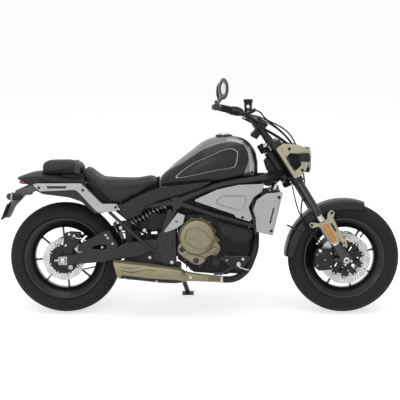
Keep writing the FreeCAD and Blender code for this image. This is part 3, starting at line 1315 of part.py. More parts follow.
make_wheels()
make_axles()
make_drive()
make_fork()
make_clamps()
make_fork_brackets()
make_headlight()
make_bars()
make_front_guard()
make_front_brakes()
make_mirrors()
make_dash()
make_hand_controls()
make_hose()
make_frame()
make_engine()
make_tank()
make_seats()
make_side_covers()
make_rear_suspension()
make_inner_guard()
make_exhaust()
make_feet()
make_stand()
lean_over()
check_and_write()
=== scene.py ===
"""Looks of a cruiser motorcycle that leans on its side stand.

Pieces are written upright in millimetres: X forward from halfway between the wheels, Y to the
machine's left, Z up from the floor. keep() leans them over into the frame's metres.
"""

import bmesh
import bpy
import json
from math import asin, atan2, copysign, cos, exp, pi, radians, sin, sqrt, tan, tau
from mathutils import Matrix, Vector
from mathutils.bvhtree import BVHTree


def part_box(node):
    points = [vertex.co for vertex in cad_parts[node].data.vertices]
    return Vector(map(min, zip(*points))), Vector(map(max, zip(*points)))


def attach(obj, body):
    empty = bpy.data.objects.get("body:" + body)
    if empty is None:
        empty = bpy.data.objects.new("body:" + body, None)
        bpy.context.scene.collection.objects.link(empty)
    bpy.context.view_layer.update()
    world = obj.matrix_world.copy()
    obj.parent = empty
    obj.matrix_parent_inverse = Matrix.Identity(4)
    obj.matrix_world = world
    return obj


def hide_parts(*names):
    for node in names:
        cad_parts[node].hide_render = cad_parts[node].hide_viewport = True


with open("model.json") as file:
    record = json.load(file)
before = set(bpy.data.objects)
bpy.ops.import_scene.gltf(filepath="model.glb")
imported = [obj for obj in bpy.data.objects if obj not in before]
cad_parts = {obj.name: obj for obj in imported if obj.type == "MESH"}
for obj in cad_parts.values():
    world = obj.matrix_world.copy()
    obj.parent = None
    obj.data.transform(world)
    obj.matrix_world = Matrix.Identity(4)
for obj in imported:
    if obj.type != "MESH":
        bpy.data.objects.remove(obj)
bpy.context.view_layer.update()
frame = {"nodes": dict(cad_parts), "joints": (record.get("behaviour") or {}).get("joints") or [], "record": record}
joints = {joint["name"]: joint for joint in frame["joints"]}

# Where the machine stands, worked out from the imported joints
front_axle = Vector(joints["front_wheel_spin"]["pos_m"])
rear_axle = Vector(joints["rear_wheel_spin"]["pos_m"])
LEFT = Vector(joints["front_wheel_spin"]["axis"]).normalized()
FORWARD = (front_axle - rear_axle).normalized()
UP = FORWARD.cross(LEFT)
tyre_low, tyre_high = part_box("front_tyre")
TYRE_RADIUS = (tyre_high[0] - tyre_low[0]) * 500
WHEELBASE = (front_axle - rear_axle).length * 1000
FRONT_X = WHEELBASE / 2
REAR_X = -WHEELBASE / 2
ground_middle = (front_axle + rear_axle) / 2 - UP * (TYRE_RADIUS / 1000)
UPRIGHT = Matrix.Translation(ground_middle) @ Matrix((FORWARD, LEFT, UP)).transposed().to_4x4()
PARKED = UPRIGHT @ Matrix.Scale(0.001, 4)
steering = Vector(joints["steering"]["axis"])
RAKE = atan2(-steering.dot(FORWARD), steering.dot(UP))


def fork(ahead, up, out=0.0):
    """A point given along the fork: ahead of the legs' line, above the front axle."""
    x = FRONT_X + ahead * cos(RAKE) - up * sin(RAKE)
    z = TYRE_RADIUS + ahead * sin(RAKE) + up * cos(RAKE)
    return Vector((x, out, z))


# Materials
MATERIALS = {}


def shader_node(tree, kind, **values):
    """A new node with its inputs set by name."""
    made = tree.nodes.new("ShaderNode" + kind)
    for name, value in values.items():
        made.inputs[name.replace("_", " ")].default_value = value
    return made


def combined(tree, operation, *sources):
    """What a sum node gives for two sources, each a number or another node's output."""
    made = shader_node(tree, "Math")
    made.operation = operation
    for entry, source in zip(made.inputs, sources):
        if isinstance(source, float):
            entry.default_value = source
        else:
            tree.links.new(source, entry)
    return made.outputs[0]


def surface(name, colour, rough, metallic=0.0, coat=0.0, grain=40.0, mottle=0.06, bump=0.0,
        bump_size=900.0, rough_range=0.08, shine=0.5):
    """A surface whose colour and roughness drift with one noise, and whose grain is another."""
    made = bpy.data.materials.new(name)
    made.use_nodes = True
    tree = made.node_tree
    link = tree.links.new
    shader = tree.nodes["Principled BSDF"].inputs
    for entry, value in (("Metallic", metallic), ("Coat Weight", coat), ("Coat Roughness", 0.06),
            ("Specular IOR Level", shine)):
        shader[entry].default_value = value
    place = shader_node(tree, "TexCoord").outputs["Object"]
    drift = shader_node(tree, "TexNoise", Scale=grain, Detail=5.0)
    link(place, drift.inputs["Vector"])
    ramp = shader_node(tree, "ValToRGB")
    for element, end, share in zip(ramp.color_ramp.elements, (0.3, 0.7), (1 - mottle, 1 + mottle)):
        element.position = end
        element.color = [min(1.0, part * share) for part in colour] + [1.0]
    link(drift.outputs["Fac"], ramp.inputs["Fac"])
    link(ramp.outputs["Color"], shader["Base Color"])
    spread = shader_node(tree, "MapRange", To_Min=max(0.02, rough - rough_range),
        To_Max=min(1.0, rough + rough_range))
    link(drift.outputs["Fac"], spread.inputs["Value"])
    link(spread.outputs["Result"], shader["Roughness"])
    if bump:
        fine = shader_node(tree, "TexNoise", Scale=bump_size, Detail=3.0)
        link(place, fine.inputs["Vector"])
        relief = shader_node(tree, "Bump", Strength=bump, Distance=0.0006)
        link(fine.outputs["Fac"], relief.inputs["Height"])
        link(relief.outputs["Normal"], shader["Normal"])
    MATERIALS[name] = made
    return made


surface("tyre", (0.016, 0.016, 0.017), 0.7, bump=0.35, bump_size=700, shine=0.25)
surface("black_alloy", (0.008, 0.008, 0.009), 0.3, coat=0.15, bump=0.05, shine=0.3)
surface("disc_steel", (0.5, 0.5, 0.51), 0.32, metallic=1.0, grain=90, mottle=0.12)
surface("fork_tube", (0.012, 0.012, 0.013), 0.22, coat=0.3, shine=0.4)
surface("grey_alloy", (0.06, 0.06, 0.063), 0.42, metallic=0.5, bump=0.15)
surface("gold_alloy", (0.44, 0.41, 0.3), 0.42, metallic=0.5, bump=0.12)
surface("black_paint", (0.011, 0.011, 0.011), 0.42, coat=0.1, shine=0.3)
surface("black_plastic", (0.012, 0.012, 0.013), 0.55, bump=0.3, bump_size=1400, shine=0.3)
surface("gloss_black", (0.006, 0.006, 0.007), 0.12, coat=0.5, shine=0.4)
surface("silver_paint", (0.42, 0.42, 0.42), 0.34, metallic=0.5, coat=0.3, grain=2500, mottle=0.08)
surface("tank_paint", (0.2, 0.2, 0.2), 0.36, metallic=0.6, coat=0.3, grain=2500, mottle=0.1)
surface("silver_trim", (0.45, 0.45, 0.44), 0.4, metallic=0.35, coat=0.1, grain=2500)
surface("bronze_cover", (0.27, 0.24, 0.155), 0.44, metallic=0.55, bump=0.12)
surface("engine_black", (0.01, 0.01, 0.011), 0.55, bump=0.45, bump_size=1100, shine=0.3)
surface("seat_cover", (0.013, 0.013, 0.013), 0.52, bump=0.5, bump_size=1500, shine=0.35)
surface("lamp_shell", (0.01, 0.01, 0.011), 0.2, coat=0.5, shine=0.4)
surface("amber_lens", (0.75, 0.27, 0.03), 0.2, coat=0.5, grain=60)
surface("red_lens", (0.4, 0.01, 0.012), 0.15, coat=0.6, grain=60)
surface("rubber", (0.012, 0.012, 0.012), 0.66, bump=0.25, shine=0.25)
surface("header_black", (0.012, 0.012, 0.012), 0.5, bump=0.3, shine=0.3)
surface("axle_steel", (0.55, 0.55, 0.56), 0.25, metallic=1.0, grain=120)
surface("plate_white", (0.7, 0.7, 0.7), 0.4)
# Shock spring: steel that is black on the machine, painted a lighter grey metal as a painted sheen for its glints.
surface("spring_glint_grey", (0.3, 0.3, 0.31), 0.2, metallic=0.9, bump=0.05)
surface("satin_black", (0.02, 0.02, 0.021), 0.5, coat=0.05, bump=0.12, shine=0.35)
# Painted highlight: a grey that stands for the light on the top faces of the black plate arm.
surface("painted_lit_grey", (0.11, 0.11, 0.112), 0.42, metallic=0.3, bump=0.1)
surface("red_dark", (0.16, 0.01, 0.012), 0.25, coat=0.4, grain=60)
surface("smoke_lens", (0.3, 0.2, 0.18), 0.15, coat=0.6, grain=60)


def lens(name, colour, rough, see_through):
    """Clear lens: partly see-through, with a slight tint."""
    shader = surface(name, colour, rough, coat=0.5, mottle=0.02).node_tree.nodes["Principled BSDF"].inputs
    shader["Transmission Weight"].default_value = see_through
    shader["IOR"].default_value = 1.3


lens("clear_lens", (0.9, 0.92, 0.94), 0.04, 0.85)
surface("mirror_glass", (0.8, 0.82, 0.84), 0.03, metallic=1.0, mottle=0.01, rough_range=0.01)
surface("reflector", (0.8, 0.8, 0.82), 0.12, metallic=1.0)

SLOT_OF = {item["node"]: item["material_slot"] for item in frame["record"]["subparts"]}
SATIN = {"swingarm", "frame", "inner_mudguard", "muffler_bracket", "tail_cowl", "side_stand"}
for node_name, node in frame["nodes"].items():
    node.data.materials.clear()
    node.data.materials.append(MATERIALS["satin_black" if node_name in SATIN else SLOT_OF[node_name]])


# Camera: level with the leaned machine's own side view, as the photograph stands to the upright one
CAMERA_MM = Vector((-25.8, -4900, 1123.9))
LOOK_DOWN = radians(5.82)
FOCAL_PIXELS = 890.0
FRAME_PIXELS = 400.0
SENSOR_WIDTH = 36.0
AMBIENT = 0.35
FLOOR_GLOW = 0.62
FLOOR_SPAN = 120.0


def make_camera():
    camera = bpy.data.objects.new("Camera", bpy.data.cameras.new("Camera"))
    bpy.context.scene.collection.objects.link(camera)
    camera.data.sensor_width = SENSOR_WIDTH
    camera.data.lens = SENSOR_WIDTH * FOCAL_PIXELS / FRAME_PIXELS
    ahead = LEFT * cos(LOOK_DOWN) - UP * sin(LOOK_DOWN)
    turn = Matrix((FORWARD, FORWARD.cross(ahead), -ahead)).transposed().to_4x4()
    camera.matrix_world = Matrix.Translation(PARKED @ CAMERA_MM) @ turn
    camera.data.clip_end = 100.0
    bpy.context.scene.camera = camera


def area_light(name, place, target, size, power):
    light = bpy.data.objects.new(name, bpy.data.lights.new(name, "AREA"))
    light.data.shape = "RECTANGLE"
    light.data.size, light.data.size_y = size
    light.data.energy = power
    light.location = place
    light.rotation_euler = (Vector(target) - Vector(place)).to_track_quat("-Z", "Y").to_euler()
    bpy.context.scene.collection.objects.link(light)


def white_for_the_eye(tree, strength):
    """How much a pale background adds for camera, mirror and glass rays only."""
    seen = shader_node(tree, "LightPath").outputs
    total = combined(tree, "MAXIMUM", seen["Is Camera Ray"], seen["Is Glossy Ray"])
    total = combined(tree, "MAXIMUM", total, seen["Is Transmission Ray"])
    return combined(tree, "MULTIPLY", total, strength)


def make_stage():
    mesh = bpy.data.meshes.new("Floor")
    half = FLOOR_SPAN / 2
    mesh.from_pydata([(-half, -half, 0), (half, -half, 0), (half, half, 0), (-half, half, 0)], [],
        [(0, 1, 2, 3)])
    floor = bpy.data.objects.new("Floor", mesh)
    bpy.context.scene.collection.objects.link(floor)
    paint = bpy.data.materials.new("floor_white")
    paint.use_nodes = True
    tree = paint.node_tree
    shader = tree.nodes["Principled BSDF"].inputs
    for entry, value in (("Base Color", (0.92, 0.92, 0.92, 1)), ("Roughness", 0.9),
            ("Specular IOR Level", 0.1), ("Emission Color", (1, 1, 1, 1))):
        shader[entry].default_value = value
    tree.links.new(white_for_the_eye(tree, FLOOR_GLOW), shader["Emission Strength"])
    mesh.materials.append(paint)
    world = bpy.data.worlds.new("Studio")
    bpy.context.scene.world = world
    world.use_nodes = True
    tree = world.node_tree
    sky = tree.nodes["Background"].inputs
    sky["Color"].default_value = (1, 1, 1, 1)
    tree.links.new(combined(tree, "ADD", white_for_the_eye(tree, 1 - AMBIENT), AMBIENT), sky["Strength"])
    area_light("Overhead", (0.2, -0.6, 4.2), (0, 0, 0.5), (5.0, 3.0), 75)
    area_light("Side", (-1.6, -4.6, 2.4), (0, 0, 0.6), (3.0, 2.0), 45)
    bpy.context.scene.view_settings.view_transform = "Standard"


make_camera()
make_stage()


# Mesh helpers: everything is upright and in millimetres until keep() leans it over
LEG_OUT = 108
SIDE = Matrix(((1, 0, 0, 0), (0, 0, -1, 0), (0, 1, 0, 0), (0, 0, 0, 1)))
MIRROR = Matrix.Scale(-1, 4, (0, 1, 0))
ON_FORK = Matrix.Translation(fork(0, 0)) @ Matrix.Rotation(-RAKE, 4, "Y") @ SIDE


def keep(name, mesh, slot, material=None, replaces=(), sharp=35, body="chassis"):
    """Lean an upright mesh over into the frame's metres and fasten it to its body."""
    mesh.transform(PARKED)
    mesh.shade_smooth()
    mesh.set_sharp_from_angle(angle=radians(sharp))
    mesh.materials.clear()
    mesh.materials.append(MATERIALS[material or slot])
    piece = bpy.data.objects.new(name, mesh)
    bpy.context.scene.collection.objects.link(piece)
    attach(piece, body)
    if replaces:
        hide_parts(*replaces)
    return piece


def on_fork(name, mesh, slot, material=None, replaces=(), sharp=35):
    return keep(name, mesh, slot, material, replaces, sharp, "fork")


def mesh_of(points, faces):
    mesh = bpy.data.meshes.new("made")
    mesh.from_pydata([tuple(point) for point in points], [], faces)
    return mesh


def joined(*meshes):
    """One mesh of several."""
    whole = bmesh.new()
    for mesh in meshes:
        whole.from_mesh(mesh)
    mesh = bpy.data.meshes.new("made")
    whole.to_mesh(mesh)
    whole.free()
    return mesh


def mirrored(mesh):
    """The same mesh on the left side."""
    other = mesh.copy()
    other.transform(MIRROR)
    other.flip_normals()
    return other


def both(*meshes):
    return joined(*meshes, *[mirrored(mesh) for mesh in meshes])


def finished(thing):
    """An object that holds a curve or a mesh while it is turned into its final mesh."""
    holder = bpy.data.objects.new("holder", thing)
    bpy.context.scene.collection.objects.link(holder)
    return holder


def settled(holder):
    """The mesh that a held curve or mesh comes to with its modifiers."""
    graph = bpy.context.evaluated_depsgraph_get()
    mesh = bpy.data.meshes.new_from_object(holder.evaluated_get(graph))
    bpy.data.objects.remove(holder)
    return mesh


def modified(holder, kind, **settings):
    modifier = holder.modifiers.new(kind.lower(), kind)
    for name, value in settings.items():
        setattr(modifier, name, value)
    return modifier


def flat_curve(outlines):
    """A filled curve in its own plane from an outline and holes."""
    curve = bpy.data.curves.new("flat", "CURVE")
    curve.dimensions = "2D"
    curve.fill_mode = "BOTH"
    for outline in outlines:
        spline = curve.splines.new("POLY")
        spline.points.add(len(outline) - 1)
        for point, (x, z) in zip(spline.points, outline):
            point.co = (x, z, 0, 1)
        spline.use_cyclic_u = True
    return curve


def line_curve(name, points, order, steps):
    """A line in space near the points, straight between them with order 2."""
    curve = bpy.data.curves.new(name, "CURVE")
    curve.dimensions = "3D"
    spline = curve.splines.new("NURBS" if order > 2 else "POLY")
    spline.points.add(len(points) - 1)
    for point, place in zip(spline.points, points):
        point.co = (*place, 1)
    if order > 2:
        spline.order_u = order
        spline.use_endpoint_u = True
    spline.resolution_u = steps
    return curve


def plate(outlines, inner, thick, bevel=1.5, where=SIDE, rings=2):
    """A bevelled plate in the side view from its outline and holes, outwards on the right."""
    curve = flat_curve(outlines)
    curve.extrude = thick / 2 - bevel
    curve.bevel_depth = bevel
    curve.bevel_resolution = rings
    curve.offset = -bevel
    mesh = settled(finished(curve))
    mesh.transform(where @ Matrix.Translation((0, 0, inner + thick / 2)))
    return mesh


def slab(corners, radius, inner, thick, bevel=1.5, where=SIDE, rings=2):
    """A plate without holes from its corners."""
    return plate([rounded(corners, radius)], inner, thick, bevel, where, rings)


def pill(x0, z0, x1, z1, wide, inner, thick, bevel=1.5, where=SIDE, rings=2):
    """A plate in the form of a slot."""
    return plate([pillbox(x0, z0, x1, z1, wide)], inner, thick, bevel, where, rings)


def rounded(corners, radius, steps=5):
    """An outline with its corners rounded; a corner may carry its own radius as third."""
    outline = []
    for number, corner in enumerate(corners):
        at = Vector(corner[:2])
        back = Vector(corners[number - 1][:2]) - at
        on = Vector(corners[(number + 1) % len(corners)][:2]) - at
        half = back.angle(on) / 2
        reach = min(radius if len(corner) < 3 else corner[2], 0.48 * min(back.length,
            on.length) * tan(half))
        first = at + back.normalized() * reach / tan(half)
        last = at + on.normalized() * reach / tan(half)
        for step in range(steps + 1):
            share = step / steps
            outline.append(tuple(first * (1 - share) ** 2 + at * 2 * share * (1 - share) + last * share
                ** 2))
    return outline


def around(x, z, reach, turn):
    return x + reach * cos(turn), z + reach * sin(turn)


def placed(corners, x, z):
    """Corners given from a place (x, z)."""
    return [(x + px, z + pz) for px, pz in corners]


def ring_of(x, z, radius, steps=32):
    return [around(x, z, radius, tau * step / steps) for step in range(steps)]


def pillbox(x0, z0, x1, z1, wide):
    """A slot's outline from one end to the other."""
    start, end = Vector((x0, z0)), Vector((x1, z1))
    way = (end - start).normalized()
    side = Vector((-way.y, way.x)) * wide
    return rounded([tuple(start - way * wide + side), tuple(start - way * wide - side),
        tuple(end + way * wide - side), tuple(end + way * wide + side)], wide * 0.98)


def skin(rings, closed=True, caps=True):
    """A surface through rings of equally many points."""
    count = len(rings[0])
    faces = []
    for ring in range(len(rings) - 1):
        for step in range(count if closed else count - 1):
            a, b = ring * count + step, ring * count + (step + 1) % count
            faces.append((a, b, b + count, a + count))
    if caps:
        faces.append(tuple(reversed(range(count))))
        faces.append(tuple(range((len(rings) - 1) * count, len(rings) * count)))
    mesh = mesh_of([point for ring in rings for point in ring], faces)
    return outward(mesh) if closed and caps else mesh


def outward(mesh):
    """Turn all faces of closed forms outwards."""
    work = bmesh.new()
    work.from_mesh(mesh)
    bmesh.ops.remove_doubles(work, verts=work.verts, dist=0.001)
    bmesh.ops.recalc_face_normals(work, faces=work.faces)
    work.to_mesh(mesh)
    work.free()
    return mesh


def lathe(profile, place, axis=(0, -1, 0), steps=48, hex_from=99, ring=False):
    """Turn a profile of (along, radius) about an axis; places from hex_from on are hexagons.
    A ring's profile closes on itself round a hole."""
    along = Vector(axis).normalized()
    side = along.orthogonal().normalized()
    up = along.cross(side)
    rings = []
    for number, (distance, radius) in enumerate(profile + profile[:1] * ring):
        places = []
        for step in range(steps):
            turn = tau * step / steps
            reach = radius
            if number >= hex_from:
                reach = radius / cos((turn % (pi / 3)) - pi / 6)
            places.append(Vector(place) + along * distance + (side * cos(turn) + up * sin(turn)) * reach)
        rings.append(places)
    return outward(skin(rings, caps=not ring))


def bolt(place, radius=7, height=5, axis=(0, -1, 0)):
    """Socket head screw on its washer."""
    profile = [(-2, radius * 1.25), (0.8, radius * 1.25), (1.2, radius * 1.1), (1.2, radius),
        (height - 1, radius), (height, radius * 0.86), (height, radius * 0.52),
        (height - 2.5, radius * 0.5), (height - 2.6, radius * 0.1)]
    return lathe(profile, place, axis, 24, 6)


def bolts(name, places, radius=7, height=5, slot="axle_steel", sides=2, axis=(0, -1, 0), body="chassis"):
    heads = [bolt(place, radius, height, axis) for place in places]
    return keep(name, both(*heads) if sides == 2 else joined(*heads), slot, body=body)


def wire(points, radius, resolution=3, order=3, steps=6):
    """A smooth round line near the points."""
    curve = line_curve("wire", points, order, steps)
    curve.bevel_depth = radius
    curve.bevel_resolution = resolution
    curve.use_fill_caps = True
    return settled(finished(curve))


def section_ring(x, heights, halves, flats, below, above):
    """A closed ring across the machine: flat below, round at the sides, crowned on top."""
    low, side, high = heights
    wide, narrow = halves
    start = narrow * flats[1]
    half = [(0.0, low), (narrow * flats[0], low), (start, low)]
    steps, outwards, down = below
    for step in range(1, steps + 1):
        turn = pi / 2 * step / steps
        half.append((start + (wide - start) * sin(turn) ** outwards,
            side - (side - low) * cos(turn) ** down if step < steps else side))
    steps, inwards, up = above
    for step in range(1, steps + 1):
        turn = pi / 2 * step / steps
        half.append((wide * cos(turn) ** inwards if step < steps else 0.0,
            side + (high - side) * sin(turn) ** up))
    return [(x, -y, z) for y, z in half] + [(x, y, z) for y, z in reversed(half[1:-1])]


def smooth_row(rows, share):
    """Values between rows of numbers whose first is the place, along a smooth curve."""
    share = min(max(share, rows[0][0]), rows[-1][0])
    number = max(n for n in range(len(rows) - 1) if rows[n][0] <= share or n == 0)
    a, b = rows[number], rows[number + 1]
    before = rows[number - 1] if number else a
    after = rows[number + 2] if number + 2 < len(rows) else b
    span = b[0] - a[0]
    t = (share - a[0]) / span
    found = []
    for n in range(1, len(a)):
        start = (b[n] - before[n]) / max(b[0] - before[0], 1e-6) * span
        end = (after[n] - a[n]) / max(after[0] - a[0], 1e-6) * span
        found.append((2 * t ** 3 - 3 * t ** 2 + 1) * a[n] + (t ** 3 - 2 * t ** 2 + t) * start
            + (3 * t ** 2 - 2 * t ** 3) * b[n] + (t ** 3 - t ** 2) * end)
    return found


# Tyres: a fine grid whose columns follow the slanted grooves
BEAD_RADIUS = 222
CROWN_RADIUS = 76
PITCHES = 44
PITCH_COLUMNS = 12
GROOVE_DEPTH = 5.0
GROOVE_SLANT = 2.2
SIDE_STEPS = 14
TREAD_STEPS = 28


def tyre_section(half_width, bead_half):
    """Half a tyre section from bead to crown: places (out, radius), and how far up the tread."""
    shoulder = TYRE_RADIUS - CROWN_RADIUS + sqrt(CROWN_RADIUS ** 2 - half_width ** 2)
    section = []
    for step in range(SIDE_STEPS + 1):
        t = step / SIDE_STEPS
        bulge = sin(pi * t * 0.62) / sin(pi * 0.62)
        out = bead_half + (half_width - bead_half) * bulge
        radius = BEAD_RADIUS + (shoulder - BEAD_RADIUS) * t
        rib = 1.2 * exp(-((t - 0.2) / 0.05) ** 2) + 0.9 * exp(-((t - 0.86) / 0.04) ** 2)
        section.append((min(out, half_width - 1.4) + rib, radius, -1))
    edge = asin(half_width / CROWN_RADIUS)
    for step in range(1, TREAD_STEPS + 1):
        t = step / TREAD_STEPS
        turn = edge * (1 - t)
        section.append((CROWN_RADIUS * sin(turn), TYRE_RADIUS - CROWN_RADIUS + CROWN_RADIUS * cos(turn),
            t))
    return section


def groove(column, share, long):
    """How deep the tread is cut at a column of a pitch; share runs from shoulder to crown."""
    first = 2 <= column <= 3 and 0.08 < share < (0.93 if long else 0.62)
    second = 8 <= column <= 9 and 0.3 < share < 0.8
    return GROOVE_DEPTH if first else GROOVE_DEPTH * 0.8 if second else 0.0


def make_tyre(name, x, width, bead_half, body):
    half = tyre_section(width / 2, bead_half)
    section = [(-out, radius, share) for out, radius, share in half]
    section += [(out, radius, share) for out, radius, share in reversed(half[:-1])]
    columns = PITCHES * PITCH_COLUMNS
    points = []
    for column in range(columns):
        for out, radius, share in section:
            slant, depth = 0.0, 0.0
            if share >= 0:
                slant = -GROOVE_SLANT * share ** 1.3 * tau / PITCHES
                pitch, place = divmod(column + (PITCH_COLUMNS // 2 if out > 0 else 0), PITCH_COLUMNS)
                depth = groove(place, share, pitch % 2 == 0)
            turn = tau * column / columns + slant
            reach = radius - depth
            points.append((x + reach * sin(turn), out, TYRE_RADIUS + reach * cos(turn)))
    count = len(section)
    faces = []
    for column in range(columns):
        a = column * count
        b = ((column + 1) % columns) * count
        faces += [(a + n, a + n + 1, b + n + 1, b + n) for n in range(count - 1)]
        faces.append((a + count - 1, a, b, b + count - 1))
    keep(name, outward(mesh_of(points, faces)), "tyre", replaces=(body.replace("wheel", "tyre"),),
        sharp=40, body=body)


make_tyre("front_tread", FRONT_X, 130, 48, "front_wheel")
make_tyre("rear_tread", REAR_X, 150, 56, "rear_wheel")


# Brake discs: drilled rings on black carriers
def disc_face(x, radius, width, out, lugs, body, name, node, sides):
    axle = (x, TYRE_RADIUS)
    inner = radius - width
    finish = both if sides == 2 else joined
    holes = []
    for row in range(3):
        for number in range(lugs * 3):
            turn = tau * (number // 3 + (number % 3) * 0.2 + row * 0.08) / lugs + 0.1
            holes.append(ring_of(*around(*axle, radius - width * (0.22 + 0.25 * row), turn), 3.4, 10))
    wave = [around(*axle, radius - 1.6 + 1.6 * cos(lugs * tau * n / 240),
        tau * n / 240) for n in range(240)]
    face = plate([wave, ring_of(*axle, inner, 96)] + holes, out, 5, 0.5, rings=1)
    keep(name, finish(face), "disc_steel", replaces=(node,), body=body)
    arm = (inner - 16, inner - 14, inner + 5, inner + 8)
    star = [around(*axle, (arm + arm[::-1])[n % 8], tau * n / (lugs * 8)) for n in range(lugs * 8)]
    spread = tau / lugs * 0.3
    windows = []
    pins = []
    for number in range(lugs):
        middle = tau * (number + 0.94) / lugs
        windows.append(rounded([around(*axle, reach, middle + spread * share) for reach, share in ((48,
            -0.75), (inner - 22, -1), (inner - 22, 1), (48, 0.75))], 4, 3))
        px, pz = around(*axle, inner + 1, tau * (number + 0.44) / lugs)
        pins.append(lathe([(0, 5), (7.6, 5), (8.4, 4), (8.4, 2)], (px, -out + 0.4, pz), steps=16))
    carrier = plate([star, ring_of(*axle, 33, 48)] + windows, out - 1.2, 8, 1.2, rings=1)
    keep(name + "_carrier", finish(carrier), "black_alloy", body=body)
    keep(name + "_bobbins", finish(*pins), "axle_steel", body=body)


disc_face(FRONT_X, 140, 42, 66, 10, "front_wheel", "front_disc_rings", "front_discs", 2)
disc_face(REAR_X, 117, 38, 76, 8, "rear_wheel", "rear_disc_ring", "rear_disc", 1)


# Rims: a spoke's (reach, half width, half depth) and its section
SPOKES = 8
SPOKE_SIZES = [(36, 9, 15), (60, 6.5, 13.5), (120, 4.6, 12), (160, 4.4, 12), (172, 6.5, 13)]
SPOKE_FORM = [(-0.7, -1), (0.7, -1), (1, -0.7), (1, 0.7), (0.7, 1), (-0.7, 1), (-1, 0.7), (-1, -0.7)]


def make_rim(name, x, half, right, left, angle, body):
    """Cast wheel: barrel with a drop well, thin tapered spokes and a flanged hub."""
    bead, well, inside = 221.6, 196, 170
    barrel = lathe([(-half, bead), (-half * 0.55, bead), (-half * 0.4, well), (half * 0.4, well),
        (half * 0.55, bead), (half, bead), (half, bead - 4), (half - 3, bead - 8),
        (half * 0.62, inside + 4), (half * 0.5, inside), (-half * 0.5, inside),
        (-half * 0.62, inside + 4), (3 - half, bead - 8), (-half, bead - 4)], (x, 0, TYRE_RADIUS),
        steps=120, ring=True)
    hub = lathe([(-left, 12), (-left, 40), (-left * 0.6, 44), (-16, 40), (16, 40), (right * 0.6, 44),
        (right, 40), (right, 12)], (x, 0, TYRE_RADIUS), steps=60, ring=True)
    spokes = []
    for number in range(SPOKES):
        turn = radians(angle + 45 * number)
        along = Vector((cos(turn), 0, sin(turn)))
        across = Vector((-sin(turn), 0, cos(turn)))
        rows = []
        for reach, wide, deep in SPOKE_SIZES:
            middle = Vector((x, 0, TYRE_RADIUS)) + along * reach
            rows.append([middle + across * (wide * a) + Vector((0, deep * b, 0)) for a, b in SPOKE_FORM])
        spokes.append(skin(rows))
    keep(name + "_casting", joined(barrel, hub, *spokes), "black_alloy", replaces=(name,), body=body)


def make_rim_details(name, x, half, body):
    """Edges of the rim, and its valve."""
    lip = lathe([(-1, 221), (0.6, 220.5), (0.6, 216), (-1, 215), (-3, 218)], (x, -half, TYRE_RADIUS),
        steps=120, ring=True)
    keep(name + "_edges", both(lip), "axle_steel", "rim_edge", body=body)
    valve_x, valve_z = around(x, TYRE_RADIUS, 178, 0.9)
    valve = lathe([(0, 4), (22, 4), (23, 5), (34, 5), (35, 3)], (valve_x, -18, valve_z),
        (-cos(0.9), -0.25, -sin(0.9)), 12)
    keep(name + "_valve", valve, "rubber", body=body)


surface("rim_edge", (0.03, 0.03, 0.032), 0.3, coat=0.2, mottle=0.1)
make_rim("front_rim", FRONT_X, 48, 66, 66, 15, "front_wheel")
make_rim("rear_rim", REAR_X, 56, 76, 81, 5, "rear_wheel")
make_rim_details("front_rim", FRONT_X, 48, "front_wheel")
make_rim_details("rear_rim", REAR_X, 56, "rear_wheel")


# Tank: silver body, black side panels, front strips
TANK_BACK, TANK_BASE, TANK_LONG, TANK_TALL, TANK_HALF = -245, 700, 535, 280, 155
TANK = [(0.00, 0.01, 0.08, 0.19, 0.44, 0.50), (0.15, 0.02, 0.16, 0.46, 0.60, 0.70),
    (0.31, 0.05, 0.30, 0.70, 0.74, 0.88), (0.47, 0.10, 0.46, 0.92, 0.82, 0.98),
    (0.65, 0.15, 0.52, 1.00, 0.84, 1.00), (0.81, 0.21, 0.54, 0.98, 0.78, 0.95),
    (0.91, 0.23, 0.50, 0.88, 0.68, 0.82), (0.975, 0.23, 0.44, 0.71, 0.56, 0.66),
    (1.00, 0.24, 0.40, 0.56, 0.46, 0.54)]


def tank_ring(share, shrink=1.0):
    under, shoulder, top, low_width, width = smooth_row(TANK, share)
    x = TANK_BACK + TANK_LONG * share
    heights = [TANK_BASE + TANK_TALL * part for part in (under, shoulder, top)]
    middle = (heights[0] + heights[2]) / 2
    ring = section_ring(x, heights, (TANK_HALF * width, TANK_HALF * low_width), (0.45, 0.8),
        (10, 0.8, 0.9), (20, 0.92, 0.96))
    return [(px, y * shrink, middle + (z - middle) * shrink) for px, y, z in ring]


def make_tank_shell():
    rings = []
    for step in range(7):
        turn = pi / 2 * step / 6
        ring = tank_ring(0.0, 0.6 + 0.4 * sin(turn))
        rings.append([(x + 5 - 5 * sin(turn), y, z) for x, y, z in ring])
    rings += [tank_ring(0.015 + 0.96 * step / 80) for step in range(81)]
    for step in range(1, 9):
        turn = pi / 2 * step / 8
        ring = tank_ring(0.975 + 0.024 * sin(turn), 1 - 0.45 * (1 - cos(turn)))
        rings.append(ring)
    body = skin(rings)
    keep("tank_shell", body.copy(), "tank_paint", replaces=("fuel_tank",), sharp=60)
    return body


tank_body = make_tank_shell()


def tree_of(mesh):
    work = bmesh.new()
    work.from_mesh(mesh)
    bmesh.ops.triangulate(work, faces=work.faces)
    tree = BVHTree.FromBMesh(work)
    work.free()
    return tree


def touched(tree, x, z):
    """Where a line from the right side meets a body, and the way out of it there."""
    return tree.ray_cast(Vector((x, -400, z)), Vector((0, 1, 0)))[:2]


